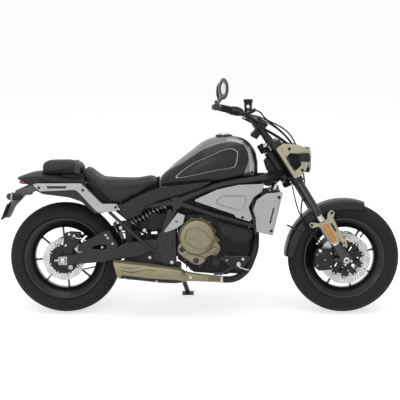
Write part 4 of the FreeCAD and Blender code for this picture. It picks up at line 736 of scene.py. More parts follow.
def laid_on(tree, outlines, proud, sink=4.0, cell=7.0, edge=1.0):
    """A shell inside outlines in the side view, laid on the right side of a body."""
    sheet = settled(finished(flat_curve(outlines)))
    sheet.transform(SIDE)
    work = bmesh.new()
    work.from_mesh(sheet)
    for axis, normal in ((0, (1, 0, 0)), (2, (0, 0, 1))):
        reach = [vert.co[axis] for vert in work.verts]
        start, end = min(reach), max(reach)
        count = int((end - start) / cell)
        for step in range(1, count):
            place = Vector(normal) * (start + (end - start) * step / count)
            geometry = work.verts[:] + work.edges[:] + work.faces[:]
            bmesh.ops.bisect_plane(work, geom=geometry, plane_co=place, plane_no=normal)
    for vert in work.verts:
        found, normal = touched(tree, vert.co.x, vert.co.z)
        if found is None:
            found, normal = tree.find_nearest(Vector((vert.co.x, -60, vert.co.z)))[:2]
        vert.co = found + normal * proud
    if sum(face.normal.y * face.calc_area() for face in work.faces) > 0:
        bmesh.ops.reverse_faces(work, faces=work.faces)
    shell = bpy.data.meshes.new("shell")
    work.to_mesh(shell)
    work.free()
    holder = finished(shell)
    modified(holder, "SOLIDIFY", thickness=proud + sink, offset=-1)
    if edge:
        modified(holder, "BEVEL", width=edge, segments=2, angle_limit=radians(50))
    return settled(holder)


SIDE_PANEL_LINE = [(-238, 712), (-236, 742), (-222, 772), (-188, 797), (-130, 828), (-78, 861),
    (-30, 894), (19, 919), (88, 941), (157, 945), (204, 930), (226, 900), (233, 850), (214, 795),
    (200, 748), (160, 726), (60, 716), (-100, 708)]
STRIP_LINE = [(120, 966), (166, 962), (204, 952), (240, 918), (256, 870), (266, 826), (266, 772),
    (250, 762), (240, 800), (238, 846), (230, 896), (208, 934), (162, 949), (120, 952)]
DARK_LINE = [(268, 766), (269, 826), (259, 874), (243, 922), (206, 958), (176, 968), (196, 968),
    (222, 958), (254, 924), (272, 880), (282, 830), (282, 770)]


def smoothed(outline, steps=4):
    """A closed outline through the same places with its corners eased."""
    eased = []
    count = len(outline)
    for number in range(count):
        p0, p1, p2, p3 = [Vector(outline[(number + n - 1) % count]) for n in range(4)]
        for step in range(steps):
            t = step / steps
            eased.append(tuple(0.5 * (2 * p1 + (p2 - p0) * t + (2 * p0 - 5 * p1 + 4 * p2 - p3) * t ** 2
                + (3 * p1 - p0 - 3 * p2 + p3) * t ** 3)))
    return eased


def dress_tank():
    tree = tree_of(tank_body)
    panel = laid_on(tree, [smoothed(SIDE_PANEL_LINE)], 2.2, cell=9)
    keep("tank_side_panels", both(panel), "black_paint")
    strip = laid_on(tree, [rounded(STRIP_LINE, 6, 2)], 2.6, cell=9)
    keep("tank_front_strips", both(strip), "silver_trim", "silver_paint")
    dark = laid_on(tree, [rounded(DARK_LINE, 4, 2)], 1.4, cell=9)
    keep("tank_dark_bands", both(dark), "black_plastic")
    emblem = [(-158, 757), (-78, 826), (5, 867), (87, 903), (137, 916), (167, 906), (177, 887),
        (167, 829), (142, 812), (60, 799), (-50, 774)]
    line = smoothed(emblem, 5)
    middle = Vector((sum(p[0] for p in line) / len(line), sum(p[1] for p in line) / len(line)))
    inner = [tuple(middle + (Vector(p) - middle) * 0.965) for p in line]
    tree = tree_of(panel)
    border = laid_on(tree, [line, inner], 0.7, 1.0, cell=14, edge=0)
    keep("tank_badge_borders", both(border), "silver_trim")
    found, normal = touched(tree_of(tank_body), 253, 788)
    keep("tank_strip_bolts", both(bolt(found + normal * 2, 6, 4, normal)), "black_alloy")


dress_tank()


def make_cap():
    """Fuel cap: knurled edge, dished top and a key flap."""
    x, z = TANK_BACK + TANK_LONG * 0.655, TANK_BASE + TANK_TALL + 6
    rim = lathe([(0, 30), (0, 34), (3.5, 34), (5.5, 31), (6.4, 27), (5.6, 25), (5.2, 12), (5.2, 2)],
        (x, 0, z), (0, 0, 1), 72)
    flap = plate([rounded([(-14, -7), (16, -7), (16, 7), (-14, 7)], 6.9, 5)], 0, 2.4, 0.8,
        Matrix.Translation((x, 0, z + 4.6)))
    teeth = []
    for px, py in ring_of(x, 0, 32.6, 24):
        teeth.append(lathe([(0.4, 2.2), (3.2, 2.2), (4, 1.4)], (px, py, z), (0, 0, 1), 8))
    keep("fuel_cap_top", joined(rim, flap, *teeth), "axle_steel", replaces=("fuel_cap",), body="fuel_cap")
    collar = lathe([(-16, 34.6), (-0.6, 34.6), (-0.6, 44), (-3, 47), (-12, 47), (-16, 40)], (x, 0, z),
        (0, 0, 1), 72, ring=True)
    keep("filler_collar", collar, "black_alloy")


make_cap()


# Seats
SEAT_REAR, SEAT_LONG, SEAT_BASE, SEAT_TALL, SEAT_HALF = -651, 398, 620, 212, 146
RIDER_SEAT = [(0.00, 0.70, 0.84, 0.99, 0.72, 0.78), (0.20, 0.34, 0.52, 0.66, 0.96, 1.00),
    (0.33, 0.10, 0.46, 0.62, 0.98, 1.00), (0.50, 0.02, 0.42, 0.605, 0.96, 1.00),
    (0.72, 0.14, 0.44, 0.61, 0.84, 0.90), (0.90, 0.36, 0.52, 0.67, 0.70, 0.76),
    (1.00, 0.44, 0.54, 0.63, 0.58, 0.64)]
PILLION_BACK, PILLION_LONG, PILLION_BASE, PILLION_TALL, PILLION_HALF = -883, 220, 770.4, 78, 96
PILLION = [(0.00, 0.00, 0.40, 0.72, 0.86, 0.94), (0.06, 0.00, 0.52, 0.94, 0.88, 0.98),
    (0.40, 0.00, 0.60, 1.00, 0.90, 1.00), (0.80, 0.00, 0.56, 0.96, 0.86, 0.95),
    (1.00, 0.00, 0.30, 0.60, 0.76, 0.84)]
CLOTH_PRESSURE = 4.0
CLOTH_FRAMES = 20
MOST_SWELLING = 5.0
CUSHION_STEPS = 40
SEAM_DEPTH = 2.6
QUILT_PITCH = 15.0
PILLION_SEAMS = (-828, -796, -764, -732)


def pad_ring(stations, share, box, shrink):
    """A cushion's section."""
    back, long, base, tall, half_width = box
    under, shoulder, top, low_width, width = smooth_row(stations, share)
    low, side, high = [base + tall * part for part in (under, shoulder, top)]
    return section_ring(back + long * share, (low, side, high - shrink),
        (half_width * width - shrink, half_width * low_width - shrink), (0.5, 0.86), (8, 0.6, 0.8),
        (16, 0.62, 0.75))


def cushion(stations, box, shrink, ends):
    """A closed form through the stations with rounded ends."""
    rings = [pad_ring(stations, ends + (1 - 2 * ends) * step / CUSHION_STEPS, box,
        shrink) for step in range(CUSHION_STEPS + 1)]
    closed = []
    for ring, way in ((rings[0], -1), (rings[-1], 1)):
        middle = Vector((ring[0][0], 0, sum(point[2] for point in ring) / len(ring)))
        caps = []
        for step in range(1, 6):
            turn = pi / 2 * step / 5
            small = 1 - 0.5 * (1 - cos(turn))
            caps.append([tuple(middle + (Vector(point) - middle) * small
                + Vector((way * box[1] * ends * 0.9 * sin(turn), 0, 0))) for point in ring])
        closed.append(caps)
    return skin(list(reversed(closed[0])) + rings + closed[1])


def puffed(mesh, voxel):
    """Swell a cushion as sewn cloth over foam, with no point moved further than the most."""
    holder = finished(mesh)
    modified(holder, "REMESH", mode="VOXEL", voxel_size=voxel)
    even = settled(holder)
    even.transform(Matrix.Scale(0.001, 4))
    before = [vert.co.copy() for vert in even.vertices]
    holder = finished(even)
    cloth = modified(holder, "CLOTH")
    cloth.settings.use_pressure = True
    cloth.settings.uniform_pressure_force = CLOTH_PRESSURE
    cloth.settings.effector_weights.gravity = 0
    cloth.settings.quality = 4
    cloth.point_cache.frame_end = CLOTH_FRAMES
    for number in range(1, CLOTH_FRAMES + 1):
        bpy.context.scene.frame_set(number)
    swollen = settled(holder)
    for vert, start in zip(swollen.vertices, before):
        move = vert.co - start
        if move.length > MOST_SWELLING / 1000:
            vert.co = start + move.normalized() * MOST_SWELLING / 1000
    bpy.context.scene.frame_set(1)
    swollen.transform(Matrix.Scale(1000, 4))
    return swollen


def eased(mesh):
    holder = finished(mesh)
    modified(holder, "SMOOTH", factor=0.5, iterations=8)
    modified(holder, "SUBSURF", levels=1, render_levels=1)
    return settled(holder)


def seat_zone(x, y):
    """Inside the quilted part of the rider's seat: 1 in its middle, 0 on its seam."""
    share = (x - SEAT_REAR) / SEAT_LONG
    half = smooth_row([(0.0, 78), (0.2, 112), (0.4, 124), (0.6, 116), (0.8, 66), (0.9, 10)], share)[0]
    ends = min((share - 0.03) / 0.05, (0.84 - share) / 0.05, 1)
    return min((half - abs(y)) / 10, ends)


def make_rider_seat():
    box = (SEAT_REAR, SEAT_LONG, SEAT_BASE, SEAT_TALL, SEAT_HALF)
    seat = eased(puffed(cushion(RIDER_SEAT, box, 5, 0.03), 5.0))
    normals = [vert.normal.copy() for vert in seat.vertices]
    for vert, normal in zip(seat.vertices, normals):
        if normal.z < 0.15:
            continue
        zone = seat_zone(vert.co.x, vert.co.y)
        if -0.4 < zone < 0.4:
            vert.co -= normal * SEAM_DEPTH * exp(-(zone / 0.22) ** 2)
        elif zone >= 0.4:
            row = (vert.co.x + 0.16 * abs(vert.co.y)) / QUILT_PITCH
            ridge = abs(cos(pi * row)) ** 0.5
            vert.co += normal * (2.2 * ridge - 1.6) * min(1, (zone - 0.4) / 0.5)
    piece = keep("rider_cushion", seat, "seat_cover", replaces=("rider_seat",), sharp=180)


def make_pillion():
    box = (PILLION_BACK, PILLION_LONG, PILLION_BASE, PILLION_TALL, PILLION_HALF)
    pad = eased(puffed(cushion(PILLION, box, 5, 0.05), 4.5))
    normals = [vert.normal.copy() for vert in pad.vertices]
    for vert, normal in zip(pad.vertices, normals):
        level = (vert.co.z - PILLION_BASE) / PILLION_TALL
        seam = PILLION_BASE + PILLION_TALL * 0.72
        if 0.05 < level:
            vert.co -= normal * 1.6 * exp(-((vert.co.z - seam) / 2.0) ** 2)
        for x in PILLION_SEAMS:
            if normal.z > 0.5:
                vert.co -= normal * 1.8 * exp(-((vert.co.x - x) / 2.5) ** 2)
    piece = keep("pillion_cushion", pad, "seat_cover", replaces=("passenger_seat",), sharp=180)
    edges = []
    for at, shrink in ((-704, -3.4), (-676, -3.4), (-676, 1.0), (-704, 1.0), (-704, -3.4)):
        ring = pad_ring(PILLION, (at - PILLION_BACK) / PILLION_LONG, box, shrink)
        edges.append(ring[2:-1])
    keep("pillion_strap", skin(edges, closed=False, caps=False), "seat_cover", "strap")


surface("strap", (0.028, 0.028, 0.029), 0.5, bump=0.5, bump_size=2600)
make_rider_seat()
make_pillion()


# Side covers
AIR_COVER = [(-62, 636), (64, 695), (181, 721), (321, 726, 4), (306, 683), (263, 654), (236, 601),
    (257, 537), (239, 523), (166, 546), (157, 561)]
SIDE_PANEL = [(-402, 640), (-315, 680), (-241, 706), (53, 742), (-26, 704), (-146, 664), (-190, 655),
    (-312, 612), (-352, 560), (-418, 532), (-453, 556), (-462, 600)]
SHROUD = [(325, 675), (418, 685), (365, 449), (277, 470), (272, 542), (258, 589), (277, 642)]
SIDE_RAIL = [(-927, 721, 3), (-902, 727), (-666, 727, 14), (-553, 617, 16), (-474, 617, 18),
    (-463, 597, 8), (-474, 578, 18), (-567, 567, 8), (-590, 580, 10), (-684, 683, 20), (-702, 692),
    (-889, 683, 3)]
OUTSIDE_TUBES = 142.4
FINS = 34
FIN_PITCH = 6.4


def shrunk(outline, by):
    """The outline moved inwards, towards its own middle line."""
    middle = sum((Vector(point[:2]) for point in outline), Vector((0, 0))) / len(outline)
    made = []
    for point in outline:
        away = Vector(point[:2]) - middle
        made.append(tuple(middle + away * (1 - by / away.length)))
    return made


def make_air_covers():
    outline = rounded(AIR_COVER, 7)
    hollow = rounded([(58, 636), (96, 664), (212, 664), (226, 640), (206, 592), (184, 582), (72, 616)],
        16)
    base = plate([outline, hollow], OUTSIDE_TUBES, 10, 3)
    step = plate([hollow, shrunk(hollow, 4)], OUTSIDE_TUBES + 1, 11, 1.2)
    floor = plate([shrunk(hollow, 3)], OUTSIDE_TUBES, 6.5, 1)
    crown = plate([shrunk(hollow, 8)], OUTSIDE_TUBES + 5, 2.6, 1.2)
    keep("air_cover_plates", both(base, step, floor, crown), "silver_trim", replaces=("air_covers",))
    bolts("air_cover_bolts", [(203, -OUTSIDE_TUBES - 9.5, 546)], 6, 4, "black_alloy")


def make_side_panels():
    outline = rounded(SIDE_PANEL, 10)
    base = plate([outline], OUTSIDE_TUBES, 9, 3)
    step = slab([(-396, 632), (-312, 670), (-238, 696), (30, 734), (-30, 708), (-148, 670), (-196, 661),
        (-318, 618), (-358, 567), (-416, 541), (-443, 560), (-452, 598)], 8, OUTSIDE_TUBES + 7, 4.6, 2)
    pads = [lathe([(-20, 9), (2, 9), (3, 8)], (x, -OUTSIDE_TUBES, z), steps=20) for x, z in ((-345, 602),
        (-420, 603))]
    keep("side_panel_plates", both(base, step, *pads), "black_paint", replaces=("side_panels",))


def make_shrouds():
    outline = rounded(SHROUD, 8)
    window = pillbox(368, 596, 350, 520, 2.6)
    base = plate([outline, window], 160.4, 15, 4)
    crease = plate([rounded([(328, 668), (408, 678), (358, 458), (296, 470), (293, 560)], 6),
        pillbox(368, 596, 350, 520, 4)], 172, 6.4, 2.4)
    scoop = slab([(376, 596), (392, 590), (370, 500), (352, 496)], 4, 176, 3.4, 1.4)
    keep("shroud_plates", both(base, crease, scoop), "silver_trim", replaces=("radiator_shrouds",))
    bolts("shroud_bolts", [(395, -178, 656), (355, -178, 476)], 7, 4, "black_alloy")
    inner = plate([window], 158, 8, 0.5)
    keep("shroud_slot_backs", both(inner), "black_plastic")


def make_radiator():
    """Fins of the core on its front face, its side tanks, cap and filler neck."""
    rise = Vector((70.6, 0, 224)).normalized()
    ahead = Vector((rise.z, 0, -rise.x))
    foot = Vector((341.4, 0, 458)) + ahead * 0.5
    fins = []
    for number in range(FINS):
        place = foot + rise * (8 + number * FIN_PITCH)
        fins.append([tuple(place + Vector((0, y, 0)) + ahead * out + rise * up) for y in (-132,
            132) for out, up in ((0, 0), (4, 0), (4, 1.4), (0, 1.4))])
    meshes = [mesh_of(points, [(0, 1, 2, 3), (7, 6, 5, 4), (0, 4, 5, 1), (1, 5, 6, 2), (2, 6, 7, 3),
        (3, 7, 4, 0)]) for points in fins]
    keep("radiator_fins", outward(joined(*meshes)), "engine_black", "fin_metal")
    rails = []
    for y in (-146, 146):
        start = foot + rise * 4 + Vector((0, y, 0))
        rails.append(wire([start, start + rise * 114, start + rise * 226], 7, order=2))
    keep("radiator_tanks", joined(*rails), "black_plastic")
    cap_at = (382, -50, 676)
    neck = lathe([(-14, 13), (0, 13), (0, 17), (3, 18)], cap_at, (0.2, 0, 1), 32)
    top = lathe([(2, 22), (8, 25), (16, 25), (22, 20), (30, 16), (38, 15), (40, 8)], cap_at, (0.2, 0, 1),
        36)
    ears = pill(-26, 0, 26, 0, 8, 4, 6, 2, Matrix.Translation(cap_at))
    keep("radiator_neck", neck, "black_plastic")
    keep("radiator_cap", joined(top, ears), "axle_steel")


surface("fin_metal", (0.09, 0.09, 0.095), 0.4, metallic=0.7, grain=200, mottle=0.2)


def make_rails():
    outline = rounded(SIDE_RAIL, 6)
    badge = rounded([(-853, 712), (-742, 712), (-750, 700), (-845, 700)], 2, 3)
    groove = pillbox(-655, 700, -585, 628, 14)
    base = plate([outline, badge], 122, 12, 3)
    raised = plate([groove, shrunk(groove, 2.4)], 132, 3.4, 0.8)
    keep("side_rail_plates", both(base, raised, lathe([(-32, 10), (2, 10), (3, 9)], (-481, -124, 598),
        steps=20)), "silver_trim", replaces=("side_rails",))
    keep("side_rail_badge_places", both(plate([badge], 121, 10.5, 0.6)), "gloss_black")
    bolts("side_rail_bolts", [(-892, -134, 704), (-656, -135, 691), (-481, -134, 599)], 6, 4,
        "black_alloy")


make_air_covers()
make_side_panels()
make_shrouds()
make_radiator()
make_rails()


# Engine
CLUTCH = (-42, 437)
CASE_OUT = 104


def make_clutch_cover():
    x, z = CLUTCH
    drum = lathe([(-1, 92), (0, 95), (52, 95), (60, 93.5), (66, 89), (70, 82), (71.6, 74), (72, 40),
        (72, 6)], (x, -CASE_OUT, z), steps=96)
    skirt = slab([(-146, 384), (-146, 354), (-110, 323), (-60, 290), (-30, 284), (2, 304), (8, 328),
        (88, 362), (84, 384), (52, 454), (-100, 470)], 14, CASE_OUT, 50, 7, rings=4)
    low = slab([(-112, 330), (-58, 294), (-28, 289), (-4, 306), (4, 330), (-90, 352)], 12, CASE_OUT + 40,
        18, 5, rings=3)
    drop = rounded([(-112, 446), (-96, 488), (-50, 500), (0, 478), (46, 424), (36, 398), (-10, 370),
        (-60, 384), (-104, 410)], 22)
    ring = plate([drop, shrunk(drop, 4)], CASE_OUT + 68, 7.5, 1.6)
    face = plate([shrunk(drop, 6)], CASE_OUT + 66, 8.5, 2.5)
    bar = pill(-98, 448, -16, 414, 5, CASE_OUT + 72, 6.5, 2.8)
    ribs = [pill(-30 + n * 13, 516 - n * 9, 62 + n * 9, 414 + n * 3, 2.4, CASE_OUT + 58 - n * 6, 10,
        2) for n in range(3)]
    oil = lathe([(30, 22), (58, 22), (64, 20), (66, 16), (66, 10), (62, 9), (62, 3)],
        (54, -CASE_OUT, 362), steps=40)
    lip = lathe([(0, 100), (8, 100), (10, 98)], (x, -CASE_OUT, z), steps=96)
    keep("clutch_housing", joined(drum, skirt, low, ring, face, bar, *ribs, oil, lip), "bronze_cover",
        replaces=("clutch_cover",))
    glass = [lathe([(0, 15), (4, 15), (5, 13), (3.4, 12.4), (3.4, 2)], (-47, -CASE_OUT - 57, 312),
        steps=32), lathe([(0, 15), (3, 15), (4, 13), (1, 12), (1, 2)], (-122, -CASE_OUT - 50, 372),
        steps=32)]
    keep("clutch_sight_glass", joined(*glass), "engine_black", "gloss_black")
    places = []
    for turn in (18, 48, 78, 108, 140, 170, 205):
        px, pz = around(x, z, 100, radians(turn))
        places.append((px, -CASE_OUT - 14, pz))
    rim = -CASE_OUT - 44
    places += [(-138, rim, 352), (-104, rim, 314), (-24, rim - 6, 280), (16, rim, 322), (82, rim, 374),
        (66, rim, 408)]
    bolts("clutch_bolts", places, 4.2, 6, "grey_alloy", 1)
    lugs = [lathe([(0, 9), (13, 9), (14.5, 7.5)], (px, -CASE_OUT, pz),
        steps=20) for px, py, pz in places[:7]]
    keep("clutch_lugs", joined(*lugs), "bronze_cover")


def make_engine_details():
    side = slab([(64, 523), (260, 476), (256, 432), (228, 396), (150, 396), (124, 428), (80, 436)], 12,
        CASE_OUT, 34, 6, rings=4)
    step = slab([(76, 508), (248, 468), (246, 436), (222, 406), (156, 406), (132, 437), (90, 446)], 10,
        CASE_OUT + 30, 14, 5, rings=3)
    keep("engine_side_shell", joined(side, step), "black_plastic", replaces=("engine_side_cover",))
    bolts("engine_side_bolts", [(242, -CASE_OUT - 43, 449)], 7, 4, "black_alloy", 1)
    x, z = 62, 404
    dome = lathe([(-1, 82), (0, 84), (36, 84), (44, 80), (49, 70), (51, 52), (52, 20), (52, 5)],
        (x, CASE_OUT, z), (0, 1, 0), 96)
    rim = lathe([(0, 92), (10, 92), (12, 90)], (x, CASE_OUT, z), (0, 1, 0), 96)
    plug = lathe([(50, 17), (55, 17), (57, 15), (57, 9), (54, 8.4), (54, 2)], (x, CASE_OUT, z), (0, 1, 0),
        40)
    keep("generator_housing", joined(dome, rim, plug), "bronze_cover", replaces=("alternator_cover",))
    rim_places = [around(x, z, 88, radians(turn)) for turn in range(10, 370, 45)]
    places = [(px, CASE_OUT + 12, pz) for px, pz in rim_places]
    bolts("generator_bolts", places, 5, 5, sides=1, axis=(0, 1, 0))
    head = slab([(70, 640), (234, 642), (238, 574), (58, 572)], 12, -103.4, 206.8, 5, rings=3)
    keep("cylinder_head_cover", head, "engine_black")
    seams = []
    for low, high in (((30, 540), (242, 536)), ((44, 572), (240, 570)), ((-118, 300), (206, 290))):
        seams.append(wire([(low[0], -103.2, low[1]), (high[0], -103.2, high[1])], 2.2, 2, 2))
    keep("engine_joints", both(*seams), "engine_black")
    ribs = [pill(-100 + 26 * n, 268 - abs(n - 4), -92 + 26 * n, 300, 3, CASE_OUT - 4, 9,
        2) for n in range(9)]
    fins = [plate([rounded([(34 + n * 1.2, 528 + n * 9), (242, 528 + n * 9), (242, 532 + n * 9),
        (34 + n * 1.2, 532 + n * 9)], 1.5, 2)], -106, 212, 1) for n in range(5)]
    keep("engine_ribs", joined(both(*ribs), *fins), "engine_black")
    pan = slab([(-96, 250), (166, 240), (140, 226), (-40, 238)], 8, -70, 140, 5)
    keep("oil_pan", pan, "engine_black")
    hoses = [wire([(300, -60, 650), (270, -74, 672), (236, -84, 654), (226, -88, 610)], 12, 4),
        wire([(330, 60, 500), (300, 74, 470), (262, 84, 452), (240, 88, 440)], 12, 4)]
    keep("coolant_hoses", joined(*hoses), "rubber")
    clips = [lathe([(-5, 12), (-5, 13.8), (5, 13.8), (5, 12)], place, axis, 28,
        ring=True) for place, axis in (((231, -86, 630), (0.3, -0.1, 1)),
        ((282, 78, 461), (1, -0.4, 0.5)))]
    keep("hose_clips", joined(*clips), "axle_steel")
    cover = slab([(-140, 326), (-60, 326), (-52, 400), (-58, 470), (-140, 470)], 10, -CASE_OUT - 14.4, 14,
        4)
    keep("pulley_shield", cover, "black_plastic", replaces=("pulley_cover",))
    bolts("pulley_shield_bolts", [(-130, CASE_OUT + 14, 338), (-70, CASE_OUT + 14, 460)], 5, 4, sides=1,
        axis=(0, 1, 0))


make_clutch_cover()
make_engine_details()


# Exhaust
MUFFLER = [(-482, 265, 50, 51), (-354, 252, 47, 52), (-218, 236, 46, 50), (-130, 229, 38, 44),
    (-97, 225, 26, 28), (98, 208, 16.5, 17)]
MUFFLER_OUT = 152


def can_ring(x, grow=0.0, lean=0.0, squareness=0.72):
    height, tall, wide = smooth_row(MUFFLER, x)
    ring = []
    for step in range(64):
        turn = tau * step / 64
        c, s = cos(turn), sin(turn)
        y = copysign(abs(c) ** squareness, c) * (wide + grow)
        z = copysign(abs(s) ** squareness, s) * (tall + grow)
        ring.append((x - lean * z, -MUFFLER_OUT + y, height + z))
    return ring


def make_exhaust():
    rings = [can_ring(-478, -10, 0.3), can_ring(-480, -3, 0.3), can_ring(-478, -0.8, 0.3)]
    rings += [can_ring(-474 + 3 * n, 0, 0.3 * (1 - n / 24)) for n in range(24)]
    rings += [can_ring(-400 + 6 * n) for n in range(46)]
    rings += [can_ring(-126 + 3 * n, 0, 0, 0.72 + 0.28 * min(1, n / 10)) for n in range(10)]
    rings += [can_ring(-96 + 8 * n, 0, 0, 1.0) for n in range(25)]
    can = skin(rings)
    tree = tree_of(can)
    keep("muffler_shell", can, "bronze_cover", replaces=("muffler",), sharp=50)
    end = skin([can_ring(-479, -9, 0.3), can_ring(-481.5, -8.4, 0.3), can_ring(-482, -12, 0.3),
        can_ring(-478, -14, 0.3), can_ring(-470, -30, 0.3)])
    outlet = lathe([(0, 15), (10, 16), (11, 14), (4, 12), (2, 3)], (-474, -MUFFLER_OUT, 250),
        (-1, 0, 0.1), 40)
    keep("muffler_outlet", joined(end, outlet), "header_black")
    band = skin([can_ring(-100 + along, grow, 0, 0.95) for along, grow in ((-5, 0.4), (-4, 2.6), (4, 2.6),
        (5, 0.4))])
    seams = [skin([can_ring(x + along, grow) for along, grow in ((-1.5, 0.2), (0, 1.0),
        (1.5, 0.2))]) for x in (-128, -396)]
    keep("muffler_bands", joined(band, *seams), "bronze_cover")
    ring = lathe([(-6, 17), (-5, 20), (5, 20), (6, 17)], (91, -MUFFLER_OUT, 208.5), (1, 0, 0), 40)
    keep("muffler_ring", ring, "axle_steel")
    trim = laid_on(tree, [rounded([(-452, 222), (-300, 205), (-150, 196), (-112, 203), (-150, 212),
        (-300, 222), (-446, 240)], 6)], 2.2, 3, cell=12)
    keep("muffler_trim", trim, "header_black")
    arcs = []
    for points in (((-446, 268), (-400, 252), (-352, 262), (-300, 272), (-262, 262)),
            ((-446, 284), (-396, 272), (-346, 284), (-300, 290), (-250, 278))):
        places = [touched(tree, x, z)[0] for x, z in points]
        arcs.append(wire([place + Vector((0, -0.4, 0)) for place in places], 1.5, 2, steps=10))
    keep("muffler_lines", joined(*arcs), "bronze_cover", "header_black")
    spots = [bolt(touched(tree, x, z)[0] + Vector((0, -1, 0)), 5, 4) for x, z in ((-429, 222),
        (-259, 208))]
    spots.append(bolt((-76, -MUFFLER_OUT - 26, 222), 6, 4))
    keep("muffler_bolts", joined(*spots), "axle_steel")
    holes = []
    for x in range(20, 82, 8):
        height, tall, wide = smooth_row(MUFFLER, x)
        holes += [lathe([(0, 2.8), (0.9, 2.6), (0.9, 1)], (x, -MUFFLER_OUT - wide + 0.4 + z * z * 0.03,
            height + z), steps=12) for z in (-6, 0, 6)]
    keep("link_pipe_holes", joined(*holes), "header_black")
    flanges = [lathe([(0, 24), (3, 30), (9, 30), (11, 24)], (246, y, 560), (1, 0, 0), 32) for y in (-66,
        40)]
    keep("header_flanges", joined(*flanges), "header_black")


# Shock absorber: damper body, spring and collars
COIL_TURNS = 8


def make_shock():
    low, high = Vector((-428, 0, 486)), Vector((-166, 0, 618))
    way = (high - low).normalized()
    side = Vector((0, 1, 0))
    up = way.cross(side)
    body = lathe([(18, 11), (120, 11), (121, 17), (232, 17), (234, 22), (262, 22), (266, 18), (290, 18)],
        low, way, 40)
    eyes = [lathe([(-14, 8), (-14, 16), (14, 16), (14, 8)], low, (0, 1, 0), 32, ring=True),
        lathe([(-16, 8), (-16, 18), (16, 18), (16, 8)], high - way * 4, (0, 1, 0), 32, ring=True)]
    keep("shock_body", joined(body, *eyes), "black_alloy", replaces=("shock_absorber",))
    coil = []
    for step in range(COIL_TURNS * 16 + 1):
        turn = tau * step / 16
        reach = 42 + 182 * step / (COIL_TURNS * 16)
        coil.append(low + way * reach + (side * cos(turn) + up * sin(turn)) * 21)
    # The coil's lighter grey is a painted sheen for the glints on the black spring.
    keep("shock_spring", wire(coil, 5, 3, order=2), "black_alloy", "spring_glint_grey")
    collar = [lathe([(226, 20), (226, 26), (231, 26), (233, 23), (236, 23), (238, 26), (244, 26),
        (244, 20)], low, way, 48, ring=True), lathe([(30, 12), (30, 26), (38, 26), (38, 12)], low, way,
        40, ring=True)]
    keep("shock_collars", joined(*collar), "axle_steel")


make_exhaust()
make_shock()


# Front end
GUARD_HALF = 73
GUARD_FROM, GUARD_SPAN = 71, 107
GUARD_STEPS = 88


def make_front_guard():
    """Arched mudguard with a rolled edge."""
    inner = TYRE_RADIUS + 18
    section = []
    for step in range(33):
        turn = radians(-100 + 200 * step / 32)
        wide = GUARD_HALF * copysign(abs(sin(turn)) ** 0.75, turn)
        fall = 22 * (1 - abs(cos(turn)) ** 0.75) if abs(turn) < pi / 2 else 22
        section.append((wide, inner + 2 - fall))
    low = TYRE_RADIUS + 22 - 56
    left = [(-GUARD_HALF - 0.5 * n, section[0][1] + (low - section[0][1]) * n / 5) for n in range(5, 0,
        -1)]
    section = left + section + [(-wide, radius) for wide, radius in reversed(left)]
    rings = []
    for step in range(GUARD_STEPS + 1):
        angle = radians(GUARD_FROM + GUARD_SPAN * step / GUARD_STEPS)
        left_over = GUARD_STEPS - step
        flare = 1.0 - 0.04 * exp(-step / 4) - 0.04 * exp(-left_over / 4)
        trim = 14 * exp(-step / 6) + 10 * exp(-left_over / 6)
        ring = []
        for wide, radius in section:
            reach = min(max(radius, low + trim), TYRE_RADIUS + 20)
            ring.append((FRONT_X + reach * cos(angle), wide * flare, TYRE_RADIUS + reach * sin(angle)))
        rings.append(ring)
    holder = finished(skin(rings, closed=False, caps=False))
    modified(holder, "SOLIDIFY", thickness=3.6, offset=0)
    modified(holder, "BEVEL", width=1.2, segments=2, angle_limit=radians(60))
    sheet = settled(holder)
    posts = []
    for ahead, up in ((66, 268), (-60, 266)):
        for side in (-1, 1):
            place = fork(ahead, up, side * 70)
            posts.append(lathe([(0, 7), (49, 7), (49.4, 6)], place, (0, side, 0), 20))
    on_fork("front_guard_sheet", joined(sheet, *posts), "black_paint", replaces=("front_mudguard",))
    stay = wire([(450, -74, 494), (490, -74, 476), (534, -76, 452)], 5)
    on_fork("front_guard_stays", stay, "black_alloy")


def make_headlight():
    x, z = fork(31, 617)[0], fork(31, 617)[2]
    place = (x - 9, 0, z)
    shell = lathe([(2, 8), (4, 22), (26, 52), (60, 66), (86, 71), (104, 71.8), (106, 70)], place,
        (1, 0, 0), 72)
    ear = fork(100, 612)
    ears = lathe([(-129, 10), (129, 10)], (ear.x, 0, ear.z), (0, 1, 0), 24)
    on_fork("headlight_shell", joined(shell, ears), "lamp_shell", replaces=("headlight",))
    rim = lathe([(104, 66), (104, 71.8), (112, 71.8), (115, 69), (116, 65), (110, 63)], place, (1, 0, 0),
        72, ring=True)
    on_fork("headlight_rim", rim, "silver_trim")
    bowl = lathe([(104, 62), (96, 58), (88, 44), (84, 24), (83, 4)], place, (1, 0, 0), 64)
    on_fork("headlight_reflector", bowl, "silver_trim", "reflector")
    lamps = [lathe([(84, 20), (94, 20), (99, 15), (101, 6)], (x, y, z + up), (1, 0, 0),
        32) for y, up in ((0, 22), (0, -22))]
    upright = Matrix.Rotation(pi / 2, 4, "Y") @ Matrix.Rotation(pi / 2, 4, "Z")
    bar = pill(-48, 0, 48, 0, 3, 96, 5, 1.5, Matrix.Translation(place) @ upright)
    on_fork("headlight_lamps", joined(*lamps, bar), "lamp_shell", "mirror_glass")
    glass = lathe([(108, 63), (113, 60), (116, 48), (117.6, 24), (118, 3)], place, (1, 0, 0), 64)
    on_fork("headlight_glass", glass, "silver_trim", "clear_lens")


LAMP_BRACKET = [(-14, 721), (33, 724), (70, 701), (111, 666), (137, 614), (112, 572), (65, 538),
    (32, 526), (-8, 529)]


